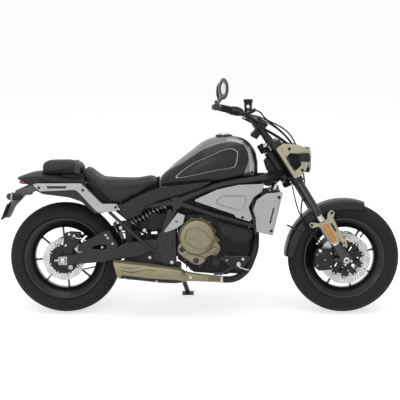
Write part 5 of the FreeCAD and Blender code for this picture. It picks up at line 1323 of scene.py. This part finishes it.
def make_lamp_brackets():
    window = rounded([(8, 566), (7, 650), (40, 662), (80, 632), (58, 574), (30, 566)], 7)
    inner = LEG_OUT + 21.5 + 0.4
    frame_plate = plate([rounded(LAMP_BRACKET, 12), window], inner, 8, 2.2, ON_FORK)
    rib = slab([(-13, 718), (2, 718), (2, 532), (-9, 532)], 4, inner + 5, 5.5, 2, ON_FORK)
    lip = slab([(13, 712), (34, 716), (66, 694), (104, 660), (126, 616), (104, 578), (62, 546), (30, 534),
        (10, 536), (10, 556), (34, 556), (66, 566), (92, 630), (44, 676), (10, 662)], 6, inner + 5, 4.2,
        1.5, ON_FORK)
    on_fork("headlight_side_plates", both(frame_plate, rib, lip), "gold_alloy",
        replaces=("headlight_brackets",))
    # Painted shade: a thin dark strip beside the rib stands for the shade in the groove along it.
    groove_shade = pill(12, 556, 12, 712, 1.1, inner + 7.6, 1.2, 0.4, ON_FORK, 1)
    on_fork("headlight_plate_groove_shade", both(groove_shade), "black_alloy", "header_black")
    places = [fork(48, 683, -inner - 8), fork(48, 549, -inner - 8)]
    bolts("headlight_plate_bolts", places, 8, 4, "black_alloy", body="fork")
    stalks = []
    lenses = []
    for side in (-1, 1):
        stalks.append(wire([(506, side * 112, 872), (520, side * 134, 870), (528, side * 150, 868)], 8, 4,
            order=3))
        stalks.append(slab([(500, 848), (506, 890), (556, 892), (560, 844)], 5, 132 if side < 0 else -166,
            34, 6, rings=3))
        lenses.append(lathe([(0, 19), (4, 18.4), (5, 14), (6, 4)], (559, side * 149, 868), (1, 0, 0), 32))
    on_fork("front_indicator_shells", joined(*stalks), "black_plastic")
    on_fork("front_indicator_lenses", joined(*lenses), "amber_lens", "smoke_lens")


make_front_guard()
make_headlight()
make_lamp_brackets()


# Fork: turned parts along the legs
UPWARD = fork(0, 1) - fork(0, 0)
ACROSS_FORK = Matrix.Translation(fork(0, 0)) @ Matrix.Rotation(-RAKE, 4, "Y")


def on_leg(profile, ahead=0.0, out=LEG_OUT, steps=40, ring=False):
    """A turned part on the right leg from its profile of (height above the axle, radius)."""
    return lathe(profile, fork(ahead, 0, -out), UPWARD, steps, ring=ring)


def make_fork_legs():
    tube = on_leg([(287, 18), (287, 22.6), (289, 24.2), (322, 24.2), (325, 23), (494, 23), (498, 21.4),
        (752, 21.4), (756, 20), (757, 12), (761, 12), (761, 4)])
    on_fork("fork_outer_tubes", both(tube), "fork_tube", replaces=("fork_legs",))
    bright = [on_leg([(249, 20.4), (288, 20.4)]), on_leg([(102, 21.6), (103, 23), (124, 23), (126, 20)])]
    on_fork("fork_inner_tubes", both(*bright), "axle_steel")
    sleeve = on_leg([(125, 18), (125, 24.5), (128, 25.6), (234, 25.6), (240, 27), (249, 27), (251, 24.5),
        (252, 18)])
    casting = on_leg([(18, 16), (20, 22), (44, 25), (70, 26.6), (96, 26), (102, 23), (103, 12)])
    foot = plate([rounded([(-26, 38), (-26, -8), (-12, -22), (14, -22), (30, -8), (30, 38)], 12),
        ring_of(0, 0, 9.8, 24)], LEG_OUT - 18.9, 37.8, 7, ON_FORK, 4)
    lugs = []
    for up in (-8, 30):
        lugs.append(slab([(FRONT_X - 65.6, TYRE_RADIUS + up), (FRONT_X - 14, TYRE_RADIUS + up - 4),
            (FRONT_X - 14, TYRE_RADIUS + up + 22), (FRONT_X - 65.6, TYRE_RADIUS + up + 16)], 5, 86, 18,
            4))
    on_fork("fork_castings", both(casting, foot, *lugs), "grey_alloy", replaces=("fork_sliders",))
    on_fork("fork_sleeves", both(sleeve), "grey_alloy", "fork_tube")
    boss = lathe([(0, 9.8), (0, 17), (3, 17), (5, 15), (5, 9.8)], (FRONT_X, -LEG_OUT - 18.8, TYRE_RADIUS),
        steps=40, ring=True)
    pinch = [lathe([(-30, 5), (-30, 8), (-24, 8), (-24, 5), (24, 5), (24, 7), (30, 7), (30, 3)],
        fork(ahead, -14, -LEG_OUT), (0, -1, 0), 6) for ahead in (-18, 20)]
    on_fork("axle_bosses", both(boss, *pinch), "axle_steel")


def make_clamps():
    """Two forged clamps with split rings, pinch bolts, stem nut and ignition lock."""
    metal = []
    for low in (500, 722):
        outline = [(29, 52, 20), (30, 80, 12), (32, 120, 18), (10, 138, 22), (-22, 132, 20),
            (-34, 104, 14), (-56, 52, 24), (-78, 28, 16)]
        outline += [(ahead, -out, turn) for ahead, out, turn in reversed(outline)]
        holes = [ring_of(0, side * LEG_OUT, 22, 40) for side in (-1, 1)]
        metal.append(plate([rounded(outline, 10), *holes], low, 30, 6, ACROSS_FORK, 3))
        for side in (-1, 1):
            metal.append(lathe([(-2, 22), (-2, 29), (0, 30), (30, 30), (32, 29), (32, 22)],
                fork(0, low, side * LEG_OUT), UPWARD, 48, ring=True))
    stem = lathe([(502, 13), (766, 13)], fork(-45, 0, 0), UPWARD, 32)
    nut = lathe([(748, 21), (749, 22), (760, 22), (764, 19), (764, 8)], fork(-45, 0, 0), UPWARD, 6)
    lock = lathe([(726, 19), (768, 19), (772, 19), (776, 16), (776, 11), (772, 10), (772, 2)],
        fork(-71, 0, 0), UPWARD, 36)
    on_fork("clamp_forgings", joined(*metal, stem, lock), "black_paint", replaces=("triple_clamps",))
    on_fork("stem_nut", nut, "axle_steel")
    screws = []
    for low in (508, 522, 730, 744):
        screws.append(lathe([(-14, 4), (-14, 6.4), (-8, 6.4), (-8, 4), (10, 4), (10, 6.4), (16, 6.4),
            (16, 3)], fork(-34, low, -84), (0, -1, 0), 16))
    on_fork("clamp_screws", both(*screws), "axle_steel")
    damper = slab([(-74, 742), (-30, 742), (-30, 728), (-74, 728)], 5, 8, 40, 4, ON_FORK)
    on_fork("lock_housing", both(damper), "black_plastic")


def make_guard_brackets():
    """Cast arms from the legs to the mudguard, with the lens holder between two clamps."""
    outline = rounded([(-61, 284, 14), (-76, 268, 12), (-66, 248, 12), (-34, 240), (-22, 216),
        (-24, 122, 4), (20, 114, 4), (26, 138), (30, 70, 5), (36, 56, 6), (50, 78, 6), (62, 118, 6),
        (52, 168), (58, 240, 12), (80, 264, 12), (68, 284, 12), (44, 274), (26, 250, 5), (-22, 252, 5),
        (-44, 270)], 8)
    slot = pillbox(32, 172, 32, 214, 5.4)
    base = plate([outline, slot], 120, 12, 3, ON_FORK, 3)
    holder = plate([rounded([(-22, 248), (24, 248), (24, 116), (-22, 116)], 9),
        pillbox(-1, 140, -1, 222, 12)], 130, 12.6, 2.6, ON_FORK, 3)
    ring = on_leg([(150, 27.4), (150, 31), (152, 33), (242, 33), (244, 31), (244, 27.4)], ring=True)
    rim = plate([rounded([(46, 262), (60, 286), (82, 262), (56, 238)], 9), ring_of(65, 266, 8, 20)], 130,
        4.5, 1.5, ON_FORK)
    rib = pill(54, 232, 46, 132, 2.4, 130, 4, 1.6, ON_FORK)
    on_fork("guard_bracket_arms", both(base, holder, ring, rim, rib), "gold_alloy",
        replaces=("fork_brackets",))
    places = [fork(65, 266, -131), fork(-61, 266, -131), fork(53, 118, -131.5), fork(38, 90, -131.5)]
    bolts("guard_bracket_bolts", places[:2], 7, 4, "black_alloy", body="fork")
    bolts("guard_bracket_pins", places[2:], 4.4, 2.4, "black_alloy", body="fork")
    dome = pill(-1, 139, -1, 223, 12.4, 140.6, 12.2, 5, ON_FORK, 4)
    ridges = [pill(-8, up, 6, up, 1.1, 152, 1.2, 0.5, ON_FORK, 1) for up in range(136, 230, 8)]
    on_fork("marker_domes", both(dome, *ridges), "amber_lens", replaces=("marker_lenses",))


def make_front_calipers():
    """Four-piston calipers on the rear side of the legs."""
    x, z = FRONT_X - 170, TYRE_RADIUS - 62
    outline = rounded(placed([(0, 20), (24, 0), (90, 6), (104, 34), (104, 112), (80, 122), (16, 118),
        (0, 90)], x, z), 12)
    outer = plate([outline], 76, 29.5, 8, rings=4)
    inner = plate([outline], 58.4, 6, 2)
    bridge = slab(placed([(2, 24), (26, 4), (34, 10), (22, 60), (32, 112), (18, 116), (2, 90)], x, z), 6,
        60, 40, 5)
    humps = [lathe([(0, 22), (34, 22), (38, 20), (40, 16), (40, 4)], (x + 56, -66, z + up),
        steps=40) for up in (38, 84)]
    web = pill(x + 22, z + 60, x + 92, z + 62, 4, 98, 10, 3)
    on_fork("front_caliper_bodies", both(outer, inner, bridge, *humps, web), "black_alloy",
        replaces=("front_calipers",))
    heads = [(x + 16, -103, z + 30), (x + 14, -103, z + 92), (x + 88, -104, z + 26),
        (x + 88, -104, z + 98), (x + 56, -104, z + 61)]
    bolts("front_caliper_bolts", heads, 5, 5, body="fork")
    banjo = lathe([(0, 9), (5, 9), (6, 7), (6, 5), (10, 5), (10, 2)], (x + 30, -104, z + 112), steps=24)
    on_fork("front_caliper_unions", both(banjo), "axle_steel")
    pads = slab(placed([(30, 30), (78, 24), (80, 98), (30, 94)], x, z), 4, 71.8, 3.4, 0.6)
    on_fork("front_brake_pads", both(pads), "black_alloy", "header_black")


make_fork_legs()
make_clamps()
make_guard_brackets()
make_front_calipers()


# Handlebar and what it carries
BEND = 22
BAR_POINTS = [(-18, 90, 890), (-66, 212, 980), (-169, 392, 1080)]


def on_bar(side, along, ahead=0.0, up=0.0):
    """A place on the handlebar's outer run: along it from its bend, and off its middle line."""
    start = fork(-66, 980, side * 212)
    way = (fork(-169, 1080, side * 392) - start).normalized()
    level = Vector((cos(radians(10)), 0, -sin(radians(10))))
    return start + way * along + level * ahead + Vector((0, 0, up)), way


def make_bar():
    run = [fork(ahead, up, -out) for ahead, out, up in reversed(BAR_POINTS)]
    run += [fork(ahead, up, out) for ahead, out, up in BAR_POINTS]
    bent = []
    for number, corner in enumerate(run):
        if number in (0, len(run) - 1):
            bent.append(corner)
            continue
        back = (run[number - 1] - corner).normalized()
        on = (run[number + 1] - corner).normalized()
        for step in range(7):
            share = step / 6
            bent.append((corner + back * BEND) * (1 - share) ** 2 + corner * 2 * share * (1 - share)
                + (corner + on * BEND) * share ** 2)
    bar = wire(bent, 12.5, 5, order=2)
    tower = on_leg([(751, 22), (756, 22), (762, 17.5), (858, 17.5), (866, 19)], -18, 66)
    feet = slab([(-46, 862), (8, 862), (10, 888), (4, 912), (-40, 912), (-48, 888)], 10, 46, 40, 5,
        ON_FORK, 3)
    on_fork("handlebar_tube", joined(bar, both(tower, feet)), "black_paint", replaces=("handlebar",))
    screws = [lathe([(0, 5), (0, 7), (6, 7), (7, 6), (7, 3.4), (4, 3)], fork(ahead, 911, -out), UPWARD,
        20) for ahead in (-38, 0) for out in (54, 78)]
    on_fork("riser_screws", both(*screws), "axle_steel")


def make_grips():
    """Ribbed rubber sleeves with turned end weights."""
    sleeves = []
    weights = []
    for side in (-1, 1):
        end, way = on_bar(side, 0)
        long = (fork(-169, 1080, side * 392) - end).length
        profile = [(long - 140, 12.7), (long - 140, 20), (long - 136, 21), (long - 133, 20)]
        for number in range(22):
            place = long - 131 + number * 4.9
            profile += [(place, 16.2), (place + 1, 17.4), (place + 3.4, 17.4), (place + 4.4, 16.2)]
        profile += [(long - 22.4, 16), (long - 22, 12.7)]
        sleeves.append(lathe(profile, end, way, 32, ring=True))
        weights.append(lathe([(long - 20, 12.6), (long - 20, 17), (long - 17, 19), (long + 2, 19),
            (long + 6, 15), (long + 6, 8), (long + 3, 7), (long + 3, 2)], end, way, 36))
    on_fork("grip_sleeves", joined(*sleeves), "rubber", replaces=("grips",), sharp=50)
    on_fork("bar_end_weights", joined(*weights), "black_alloy", "gloss_black")


def make_controls():
    """Switch housings, clamps, levers and the round fluid cup."""
    shells = []
    bright = []
    blades = []
    for side in (-1, 1):
        start, way = on_bar(side, 0)
        shells.append(lathe([(34, 13), (34, 19), (38, 23), (52, 24), (56, 22.6), (58, 24), (70, 23.4),
            (75, 20), (75, 13)], start, way, 40, ring=True))
        shells.append(lathe([(18, 13), (18, 18), (20, 19.6), (30, 19.6), (32, 18), (32, 13)], start, way,
            32, ring=True))
        pivot = on_bar(side, 28, 44)[0]
        shells.append(wire([on_bar(side, 26, 16)[0], on_bar(side, 24, 30)[0], pivot], 9, 4, order=2))
        shells.append(lathe([(-9, 10), (-7, 12), (7, 12), (9, 10)], pivot, (0, 0, 1), 24))
        blade = [on_bar(side, 22, 46)[0], on_bar(side, 44, 52)[0], on_bar(side, 84, 52)[0],
            on_bar(side, 130, 47)[0], on_bar(side, 166, 47)[0], on_bar(side, 178, 50)[0]]
        blades.append(wire(blade, 5.4, 4, 4, 8))
        blades.append(lathe([(-7, 3), (-5, 7), (0, 8.2), (5, 7), (7, 3)], blade[-1], way, 20))
        bright.append(lathe([(-10, 4), (-10, 6), (-6, 6), (-6, 4), (9, 4), (9, 6.6), (13, 6.6), (13, 3)],
            pivot, (0, 0, 1), 12))
        for along in (22, 28):
            place, _ = on_bar(side, along, -17, 6)
            bright.append(lathe([(0, 3), (0, 4.4), (4, 4.4), (4, 2)], place, (-1, 0, 0), 12))
    cup_at = on_bar(-1, 14, 36, 8)[0]
    cup = lathe([(-16, 8), (0, 9), (4, 17), (10, 19.6), (46, 21.4), (48, 19.4), (50, 22), (54, 22),
        (56, 21), (58, 22), (65, 22), (67, 20), (67, 6)], cup_at, (0, 0, 1), 48)
    knobs = [lathe([(50, 2), (50, 3), (65, 3), (66, 2)], cup_at + Vector((21.2 * cos(tau * n / 16),
        21.2 * sin(tau * n / 16), 0)), (0, 0, 1), 8) for n in range(16)]
    on_fork("control_housings", joined(*shells, cup, *knobs), "black_plastic",
        replaces=("hand_controls",))
    on_fork("control_levers", joined(*blades), "black_alloy")
    window = plate([ring_of(0, 0, 9, 28)], 0, 3, 1, Matrix.Translation(cup_at + Vector((-2, -19.4,
        28))) @ SIDE)
    on_fork("fluid_window", window, "axle_steel", "reflector")
    on_fork("control_screws", joined(*bright), "axle_steel")
    red = on_bar(-1, 58, -19, 16)[0]
    stop = lathe([(0, 7), (5, 7), (7, 5), (7, 2)], red, (-0.6, 0, 0.8), 24)
    on_fork("stop_switch", stop, "red_lens")
    small = [lathe([(0, 4.5), (4, 4.5), (5, 3)], on_bar(side, along, -22, 4)[0], (-1, 0, 0.2),
        16) for side in (-1, 1) for along in (44, 66)]
    on_fork("switch_buttons", joined(*small), "grey_alloy")


def make_mirrors():
    """Round mirrors: a dished shell, its bright glass and a two-rod stalk."""
    centre = fork(-95, 1140, -384)
    turn = radians(24)
    axis = Vector((cos(turn), sin(turn), 0))
    shell = lathe([(1.6, 28), (-1, 31), (-3, 42), (-1, 51), (0, 53.4), (2.8, 54), (7.7, 50), (12.6, 32),
        (13.8, 12), (14, 3)], centre, axis, 72)
    glass = lathe([(2.6, 29), (1.2, 29), (0.8, 27), (0.6, 20), (0.6, 2)], centre, axis, 64)
    foot = fork(-143, 1100, -386.5)
    low = fork(-153.6, 1089.8, -386.5)
    rise = centre + Vector((6, -2, -44))
    stalk = wire([low, foot, foot.lerp(rise, 0.3), rise, centre + Vector((8, 0, -16))], 6, 4, 3, 8)
    second = wire([foot.lerp(rise, 0.1) + Vector((13, 0, 4)), foot.lerp(rise, 0.5) + Vector((18, 0, 6)),
        rise + Vector((16, 2, 8)), centre + Vector((15, 2, -4))], 3.6, 3, 3, 8)
    nut = lathe([(-8, 9), (-8, 11), (6, 11), (8, 8)], foot, (0, 0, 1), 6)
    on_fork("mirror_shells", both(shell, stalk, second, nut), "black_plastic", "gloss_black",
        replaces=("mirrors",))
    on_fork("mirror_glasses", both(glass), "axle_steel", "mirror_glass")


def make_dash():
    """Instrument pod with a blank screen."""
    body = slab([(-90, 846), (-71, 812), (26, 848), (10, 884)], 6, -48.4, 96.8, 5, ON_FORK, 3)
    on_fork("dash_body", body, "black_plastic", replaces=("dash",))
    down, up = fork(-88, 847), fork(8, 883)
    rise = (up - down).normalized()
    out = Vector((0, 1, 0))
    face = Matrix((out, rise, out.cross(rise))).transposed().to_4x4()
    if face.col[2].z < 0:
        face = Matrix((-out, rise, (-out).cross(rise))).transposed().to_4x4()
    face = Matrix.Translation((down + up) / 2) @ face
    frame_edge = plate([rounded([(-45, -46), (45, -46), (45, 46), (-45, 46)], 8),
        rounded([(-39, -36), (39, -36), (39, 40), (-39, 40)], 5)], -1.5, 3.6, 1.2, face)
    on_fork("dash_edge", frame_edge, "black_plastic")
    screen = slab([(-40, -37), (40, -37), (40, 41), (-40, 41)], 5, -1.2, 1.6, 0.4, face)
    on_fork("dash_screen", screen, "black_plastic", "gloss_black")


make_bar()
make_grips()
make_controls()
make_mirrors()
make_dash()


# Cables and the brake hose
def cable(name, points, radius, replaces=()):
    """A cord along a smooth line near its points, fast at both ends."""
    places = [PARKED @ Vector(place) for place in points]
    curve = line_curve(name, places, 3, 8)
    line = settled(finished(curve.copy()))
    curve.bevel_depth = radius / 1000
    curve.bevel_resolution = 3
    curve.use_fill_caps = True
    curve.materials.append(MATERIALS["rubber"])
    piece = bpy.data.objects.new(name, curve)
    bpy.context.scene.collection.objects.link(piece)
    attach(piece, "fork")
    if replaces:
        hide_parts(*replaces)


def make_cables():
    cable("brake_hose_line", [(256.4, -223, 1120), (290, -214, 1116), (318, -176, 1070),
        (405, -146, 1034), (466, -114, 984), (500, -88, 912), (522, -82, 834), (540, -78, 762),
        (544, -76, 690), (528, -80, 622), (522, -90, 556), (548, -98, 480), (596, -98, 430),
        (640, -88, 412), (640, -82, 365.5)], 4, replaces=("brake_hose",))
    cable("wheel_sensor_cable", [(474, -98, 712), (478, -98, 690), (486, -96, 656), (500, -93, 600),
        (520, -96, 548), (556, -100, 496), (600, -102, 440), (622, -100, 400), (630, -92, 368)], 3.4)
    cable("throttle_cable", [(232, -226, 1096), (280, -190, 1088), (330, -140, 1066), (390, -110, 1026),
        (444, -92, 976), (482, -64, 930), (504, -24, 904)], 3.6)
    cable("clutch_cable", [(232, 226, 1096), (280, 190, 1088), (336, 140, 1060), (400, 100, 1022),
        (452, 70, 974), (486, 44, 928), (504, 20, 904)], 3.6)
    cable("switch_cable_right", [(216, -226, 1074), (262, -150, 1050), (318, -84, 1022), (380, -60, 990),
        (440, -52, 950), (494, -36, 906)], 4.2)
    cable("switch_cable_left", [(216, 226, 1074), (262, 150, 1050), (318, 84, 1022), (376, 60, 986),
        (436, 52, 946), (494, 36, 906)], 4.2)
    cable("dash_cable", [(316, -20, 1004), (346, -24, 990), (372, -26, 956), (392, -26, 912),
        (470, -14, 900)], 5)


def make_master_cylinders():
    """Pump bodies under the reservoirs, where the hose and the clutch cable start."""
    body = wire([(206, -240, 1092), (236, -233, 1108), (259, -223, 1120)], 10, 5, 2)
    nut = lathe([(-6, 8), (-6, 9.5), (6, 9.5), (7, 8)], (258, -223, 1120), (0.95, 0.2, 0.25), 6)
    on_fork("master_cylinders", both(body), "black_plastic")
    on_fork("hose_unions", both(nut), "axle_steel", "grey_alloy")
    clamp = slab([(-14, -9), (14, -9), (14, 9), (-14, 9)], 3, 0, 8, 2,
        Matrix.Translation((188, -258, 1104)))
    on_fork("throttle_clamp", clamp, "axle_steel", "silver_paint")


def make_head_covers():
    """Dark housings round the steering head and behind the headlight."""
    front = slab([(4, 536), (4, 724), (30, 724), (62, 696), (84, 650), (72, 566), (40, 536)], 12, -66,
        132, 8, ON_FORK, 3)
    straps = [pill(-6, up, 30, up, 9, 60, 44, 3, ON_FORK) for up in (560, 690)]
    on_fork("headlight_carrier", joined(front, both(*straps)), "black_plastic")
    back = slab([(-106, 566), (-110, 640), (-98, 690), (-66, 700), (-60, 566)], 12, -36, 72, 8, ON_FORK,
        3)
    seams = [pill(-100, up, -70, up, 2, 33, 5, 1.5, ON_FORK) for up in (590, 620, 650)]
    keep("steering_head_cover", joined(back, both(*seams)), "black_plastic")
    horn = lathe([(-12, 20), (-10, 34), (-2, 37), (2, 37), (4, 34), (4, 30), (0, 28), (0, 4)],
        (396, 0, 724), (0.7, 0, -0.7), 48)
    keep("horn", horn, "gloss_black")


make_cables()
make_master_cylinders()
make_head_covers()


# Swingarm, rear brake and frame fittings
ARM_FACE = 131
PIVOT_FACE = 144.5


def make_rear_fittings():
    plates = plate([rounded([(-794, 284), (-746, 282), (-746, 330), (-794, 328)], 5),
        pillbox(-776, 307, -764, 307, 12)], ARM_FACE, 4, 1.2)
    marks = [pill(x, 287, x, 292, 0.9, ARM_FACE + 3.8, 0.9, 0.3, rings=1) for x in range(-788, -750, 6)]
    adjust = lathe([(0, 5), (0, 8), (6, 8), (7, 6), (22, 5), (22, 2)], (-796, -118, 305), (-1, 0, 0), 6)
    keep("axle_plates", both(plates, adjust, *marks), "axle_steel", "silver_paint")
    nut = lathe([(0, 14), (2, 14), (2, 12), (12, 12), (13, 10), (13, 6), (9, 5), (9, 2)],
        (REAR_X, -ARM_FACE - 1, TYRE_RADIUS), steps=36, hex_from=2)
    keep("rear_axle_nuts", both(nut), "axle_steel")
    spool = lathe([(-34, 6), (0, 6), (0, 13), (5, 13), (5, 7), (16, 7), (16, 13), (20, 13), (21, 11),
        (21, 6)], (-728, -112, 270), steps=36)
    keep("lifting_spools", both(spool), "axle_steel", "silver_trim")
    lug = slab([(-746, 290), (-710, 290), (-716, 260), (-740, 260)], 8, 110, 14, 3)
    keep("spool_lugs", both(lug), "black_alloy", "satin_black")
    caps = lathe([(0, 26), (3, 26), (5, 24), (5, 20), (3.2, 18), (3.2, 8), (5, 7), (5, 2)],
        (-197, -PIVOT_FACE, 392), steps=48)
    keep("pivot_caps", both(caps), "black_alloy", "satin_black")
    blade = slab([(-145, 571), (-107, 557), (-117, 511), (-161, 482), (-213, 463), (-220, 471)], 5,
        PIVOT_FACE + 0.4, 6, 2.2, rings=3)
    keep("pivot_plate_covers", both(blade), "silver_trim")
    bolts("pivot_cover_bolts", [(-152, -PIVOT_FACE - 6.2, 523)], 5.5, 2.4, "grey_alloy")
    bolts("arm_brace_bolts", [(-536, -ARM_FACE + 2.8, 446), (-525, -ARM_FACE + 2.8, 430),
        (-499, -ARM_FACE - 0.2, 400), (-556, -ARM_FACE + 2.8, 380)], 5, 4, sides=2)
    bolts("bracket_bolts", [(-262, -98.2, 350), (-257, -98.2, 326), (-299, -98.2, 318)], 7, 5, sides=1)
    bolts("pivot_foot_bolts", [(-178, -PIVOT_FACE - 0.2, 299)], 7.5, 5)
    bolts("battery_case_bolts", [(-330, -72.2, 464), (-460, -72.2, 478), (-392, -72.2, 566)], 8, 5,
        sides=1)
    ears = slab([(-424, 498), (-410, 514), (-397, 520), (-372, 486), (-380, 480), (-398, 502)], 3, 24, 8,
        2.5)
    keep("shock_mounts", both(ears), "grey_alloy")
    fill = [slab([(228, 286), (222, 440), (262, 446), (272, 380), (268, 300)], 8, -30, 60, 3),
        slab([(-62, 292), (-58, 256), (-10, 230), (190, 222), (222, 240), (236, 292)], 8, -60, 120, 4),
        slab([(-398, 418), (-398, 462), (-362, 462), (-350, 418)], 4, -40, 80, 3),
        slab([(-318, 418), (-318, 452), (-296, 452), (-300, 418)], 3, -40, 80, 3),
        slab([(-262, 418), (-262, 462), (-220, 462), (-220, 418)], 3, -40, 80, 3)]
    keep("inner_covers", joined(*fill), "black_plastic")
    label = slab([(-300, 470), (-190, 470), (-190, 556), (-300, 556)], 8, 71.8, 2, 0.8)
    keep("battery_case_panels", both(label), "black_plastic")


def make_seat_bases():
    """Dark bases between the two seats, the cowl and the rails."""
    back = slab([(-652, 744), (-640, 782), (-606, 782), (-508, 640), (-520, 606), (-560, 614)], 10, -72,
        144, 6, rings=3)
    under = slab([(-790, 746), (-790, 772), (-656, 780), (-650, 744)], 6, -60, 120, 5)
    nose = slab([(-284, 698), (-280, 746), (-250, 756), (-240, 698)], 6, -40, 80, 4)
    keep("seat_bases", joined(back, under, nose), "black_plastic")


def make_disc_cover():
    """Black plate that closes the middle of the rear disc."""
    axle = (REAR_X, TYRE_RADIUS)
    cover = plate([ring_of(*axle, 83.6, 72), ring_of(*axle, 30, 48)], 73.6, 3, 0.6, rings=1)
    ring = plate([ring_of(*axle, 64, 64), ring_of(*axle, 60, 64)], 76, 5, 0.8, rings=1)
    keep("rear_disc_cover", joined(cover, ring), "black_alloy", body="rear_wheel")


def make_rear_caliper():
    x = REAR_X - 2
    outline = rounded([(x, 382), (x + 10, 368), (x + 64, 368), (x + 84, 390), (x + 100, 428),
        (x + 94, 456), (x + 40, 460), (x + 6, 452)], 10)
    outer = plate([outline], 84.2, 17.6, 6, rings=3)
    inner = plate([outline], 56.4, 17.6, 5, rings=3)
    bridge = slab([(x + 30, 446), (x + 94, 442), (x + 94, 456), (x + 40, 460)], 4, 60, 40, 4)
    cup = lathe([(0, 22), (14, 22), (18, 20), (20, 15), (20, 4)], (x + 52, -84, 414), steps=40)
    carrier = slab([(REAR_X - 6, 384), (REAR_X + 52, 384), (REAR_X + 52, 322), (REAR_X + 8, 322)], 8,
        90.2, 14.4, 3)
    keep("rear_caliper_body", joined(outer, inner, bridge, cup, carrier), "black_alloy",
        replaces=("rear_caliper",))
    bolts("rear_caliper_bolts", [(x + 34, -101, 447), (x + 60, -101, 438), (x + 14, -101, 384)], 6, 5,
        sides=1)
    line = wire([(x + 64, -98, 434), (x + 74, -104, 424), (x + 102, -108, 427), (x + 122, -110, 414),
        (x + 150, -112, 404)], 2.4, 3)
    keep("rear_brake_line", line, "axle_steel")


def make_tail():
    """Rear lamp strips, indicators, plate holder and arm."""
    lens_box = slab([(-1012, 723), (-984, 717), (-984, 733), (-1008, 738)], 4, -64, 128, 3)
    keep("tail_lamp_lens", lens_box, "red_lens", replaces=("tail_lamp",))
    ribs = [slab([(-1014, 725), (-1006, 724), (-1005, 735), (-1011, 736)], 1, y, 3,
        0.6) for y in range(-58, 60, 12)]
    keep("tail_lamp_ribs", joined(*ribs), "red_lens", "red_dark")
    stems, rings, ends = [], [], []
    for side in (-1, 1):
        out = side * 150
        stems.append(wire([(-1044, side * 30, 645), (-1040, side * 70, 650), (-1030, side * 128, 655),
            (-1024, side * 146, 656)], 8, 4, 3, 8))
        stems.append(lathe([(0, 4), (3, 12), (18, 18), (48, 20.6), (54, 21)], (-976, out, 656),
            (-1, 0, 0.03), 40))
        rings.append(lathe([(53, 18), (53, 24.6), (55, 25.6), (60, 25.6), (61, 24), (61, 18)],
            (-976, out, 656), (-1, 0, 0.03), 40, ring=True))
        ends.append(lathe([(60, 20.4), (72, 19.6), (82, 15), (87, 8), (88, 2)], (-976, out, 656),
            (-1, 0, 0.03), 40))
    keep("rear_indicator_pods", joined(*stems), "black_plastic", replaces=("rear_indicators",))
    keep("rear_indicator_rings", joined(*rings), "silver_trim")
    keep("rear_indicator_lenses", joined(*ends), "amber_lens", "gloss_black")
    tilt = Matrix.Rotation(radians(22), 4, "Y")
    corner = Matrix.Translation((-1130.6, 0, 476.7)) @ tilt
    upright_plate = corner @ Matrix(((0, 0, 1, 0), (1, 0, 0, 0), (0, 1, 0, 0), (0, 0, 0, 1)))
    edge = plate([rounded([(-84, 50), (84, 50), (84, 143), (-84, 143)], 8),
        rounded([(-77, 57), (77, 57), (77, 136), (-77, 136)], 6)], -1.2, 5, 1, upright_plate)
    back = slab([(-82, 52), (82, 52), (82, 141), (-82, 141)], 6, 2.2, 3, 1, upright_plate)
    blank = slab([(-78, 56), (78, 56), (78, 137), (-78, 137)], 4, 0, 2, 0.5, upright_plate)
    keep("blank_plate", blank, "plate_white", replaces=("number_plate",))
    keep("plate_holder", joined(edge, back), "black_plastic")
    pins = [lathe([(0, 5), (1.4, 5), (2.4, 3.6), (2.4, 1)], upright_plate @ Vector((x, 128, 0)),
        tilt @ Vector((-1, 0, 0)), 16) for x in (-60, 60)]
    keep("plate_screws", joined(*pins), "axle_steel")
    lamp = slab([(-1082, 606), (-1070, 622), (-1054, 616), (-1064, 600)], 4, -24, 48, 3)
    keep("plate_lamp", lamp, "black_plastic")
    arm = slab([(-862, 715), (-862, 701), (-936, 673), (-990, 651), (-1046, 592), (-1078, 528),
        (-1102, 530), (-1070, 611), (-1040, 681), (-990, 703), (-958, 715)], 8, -28, 56, 6, rings=3)
    # The black arm is painted grey all over, a painted highlight for the light on its top faces.
    keep("plate_arm", arm, "black_plastic", "painted_lit_grey", replaces=("plate_hanger",))


def make_feet_details():
    """Ribbed rubbers, pedal pads and their pivots."""
    profile = [(4, 18.1), (4, 20), (8, 21), (10, 20)]
    for number in range(11):
        place = 12 + number * 8.2
        profile += [(place, 18.4), (place + 1.4, 20), (place + 5.8, 20), (place + 7, 18.4)]
    profile += [(104, 19), (107, 18.4), (107, 16)]
    keep("peg_rubbers", both(lathe(profile, (60, -196, 326), steps=36)), "black_alloy", "rubber",
        sharp=50)
    pads = slab([(46, 254), (92, 254), (94, 266), (48, 268)], 4, 236, 40, 3)
    teeth = [pill(52 + n * 9, 266, 54 + n * 9, 269, 2, 238, 36, 1) for n in range(5)]
    keep("pedal_pads", both(pads, *teeth), "black_alloy", "grey_alloy")
    pivots = lathe([(0, 12), (0, 13), (8, 13), (10, 11), (10, 6), (7, 5), (7, 2)], (180, -202, 300),
        steps=6)
    rod = wire([(176, -204, 292), (204, -200, 272), (236, -190, 268)], 3.4, 3)
    keep("pedal_pivots", both(pivots, rod), "axle_steel")
    bolts("peg_bracket_bolts", [(204, -197, 326), (116, -197, 324)], 6, 4)


make_rear_fittings()
make_seat_bases()
make_disc_cover()
make_rear_caliper()
make_tail()
make_feet_details()
